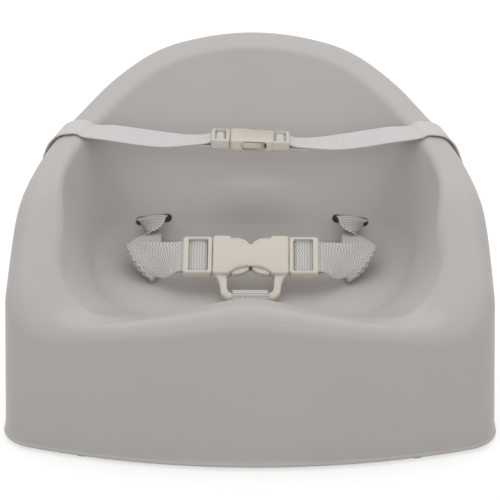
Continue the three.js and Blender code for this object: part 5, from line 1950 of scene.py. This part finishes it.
@dataclass
class Studio:
    """Camera at the photograph's angle, pale paper floor, and soft lamps.

    The camera stands 1600 mm from its target, 25 degrees above it and 0.6 degrees round toward +x; the focal
    length gives 0.728 mm a pixel at the target in a 500-pixel image. Lamps are given by name, place, size and
    watts, in metres.
    """

    target: tuple = (0, -3.5, 102.4)
    distance: float = 1600
    elevation: float = 25
    yaw: float = 0.6
    focal_px: float = 1600 / 0.728
    image_px: int = 500
    centre_px: tuple = (251.3, 242.5)
    lamps: tuple = (
        ("rear_overhead_softbox", (0, 0.6, 1.7), (2.4, 1.6), 9),
        ("front_softbox", (0, -2.4, 1.3), (2.6, 1.6), 10.5),
    )
    lamp_aim: tuple = (0, 0, 0.1)
    world_light: tuple = (0.65, 1.0)
    floor_half: float = 9000
    floor_round: float = 4000
    floor_span: tuple = (-30, -0.2)

    def camera(self) -> None:
        """Place the camera and make it the scene's."""
        data = bpy.data.cameras.new("photo_camera")
        data.sensor_width = 36
        data.lens = self.focal_px / self.image_px * data.sensor_width
        data.clip_end = 20
        data.shift_x = (self.image_px / 2 - self.centre_px[0]) / self.image_px
        data.shift_y = (self.centre_px[1] - self.image_px / 2) / self.image_px
        camera = bpy.data.objects.new("photo_camera", data)
        lift, turn = math.radians(self.elevation), math.radians(self.yaw)
        level = math.cos(lift)
        toward = Vector((math.sin(turn) * level, -math.cos(turn) * level, math.sin(lift)))
        away = toward * self.distance * MM
        camera.location = Vector(self.target) * MM + away
        camera.rotation_euler = (math.pi / 2 - lift, 0, turn)
        bpy.context.scene.collection.objects.link(camera)
        bpy.context.scene.camera = camera

    def lamp(self, name: str, place: tuple, size: tuple, power: float) -> None:
        """Add a soft rectangular lamp that looks at the lamps' common aim."""
        data = bpy.data.lights.new(name, "AREA")
        data.shape = "RECTANGLE"
        data.size, data.size_y = size
        data.energy = power
        lamp = bpy.data.objects.new(name, data)
        lamp.location = place
        lamp.rotation_euler = (Vector(place) - Vector(self.lamp_aim)).to_track_quat("Z", "Y").to_euler()
        bpy.context.scene.collection.objects.link(lamp)

    def build(self) -> None:
        """Set up floor, lamps, world and view."""
        self.camera()
        paper = StudioPaper("seamless_paper_matt", "#C4C4C3", 0.62).material()
        half = self.floor_half
        ring = rounded_rect((-half, -half), (half, half), self.floor_round, 12)
        floor = new_object("studio_floor", [plate_skin(ring, *self.floor_span, bevel=5)], [paper])
        for lamp in self.lamps:
            self.lamp(*lamp)
        world = bpy.data.worlds.new("studio_world")
        world.use_nodes = True
        tree = world.node_tree
        tree.nodes.clear()
        dim, bright = self.world_light
        power = add_node(
            tree, "ShaderNodeMapRange", {"To Min": dim, "To Max": bright}, {"Value": seen_directly(tree)}
        )
        sky = add_node(
            tree, "ShaderNodeBackground", {"Color": (1, 1, 1, 1)}, {"Strength": power.outputs["Result"]}
        )
        add_node(tree, "ShaderNodeOutputWorld", {}, {"Surface": sky.outputs[0]})
        bpy.context.scene.world = world
        bpy.context.scene.view_settings.view_transform = "Standard"


def settle(piece: bpy.types.Object, body: str, slot: Slot, *nodes: str) -> None:
    """Let a piece ride on a body and stand for CAD nodes, and report it."""
    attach(piece, body)
    if nodes:
        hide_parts(*nodes)
    log.info("%s: %d faces on %s, for %s", piece.name, len(piece.data.polygons), body, ", ".join(nodes))


def main() -> None:
    """Build the studio and every piece in order."""
    logging.basicConfig(level=logging.INFO, format="%(name)s %(message)s")
    Studio().build()
    finishes = Finishes()
    shell, lap_buckle, chair_buckle = SeatShell(), LapBuckle(), ChairBuckle()
    harness = LapHarness(shell, lap_buckle)
    strap = ChairStrap(shell, chair_buckle, harness)
    moulding = shell.build(finishes.shell, harness.slot_tools() + strap.slot_tools())
    settle(moulding, Body.SEAT.value, Slot.SHELL, "seat_shell")
    GripFeet(shell).build(finishes)
    lap_buckle.build(finishes)
    harness.build(finishes)
    chair_buckle.build(finishes)
    strap.build(finishes)


if __name__ == "__main__":
    main()
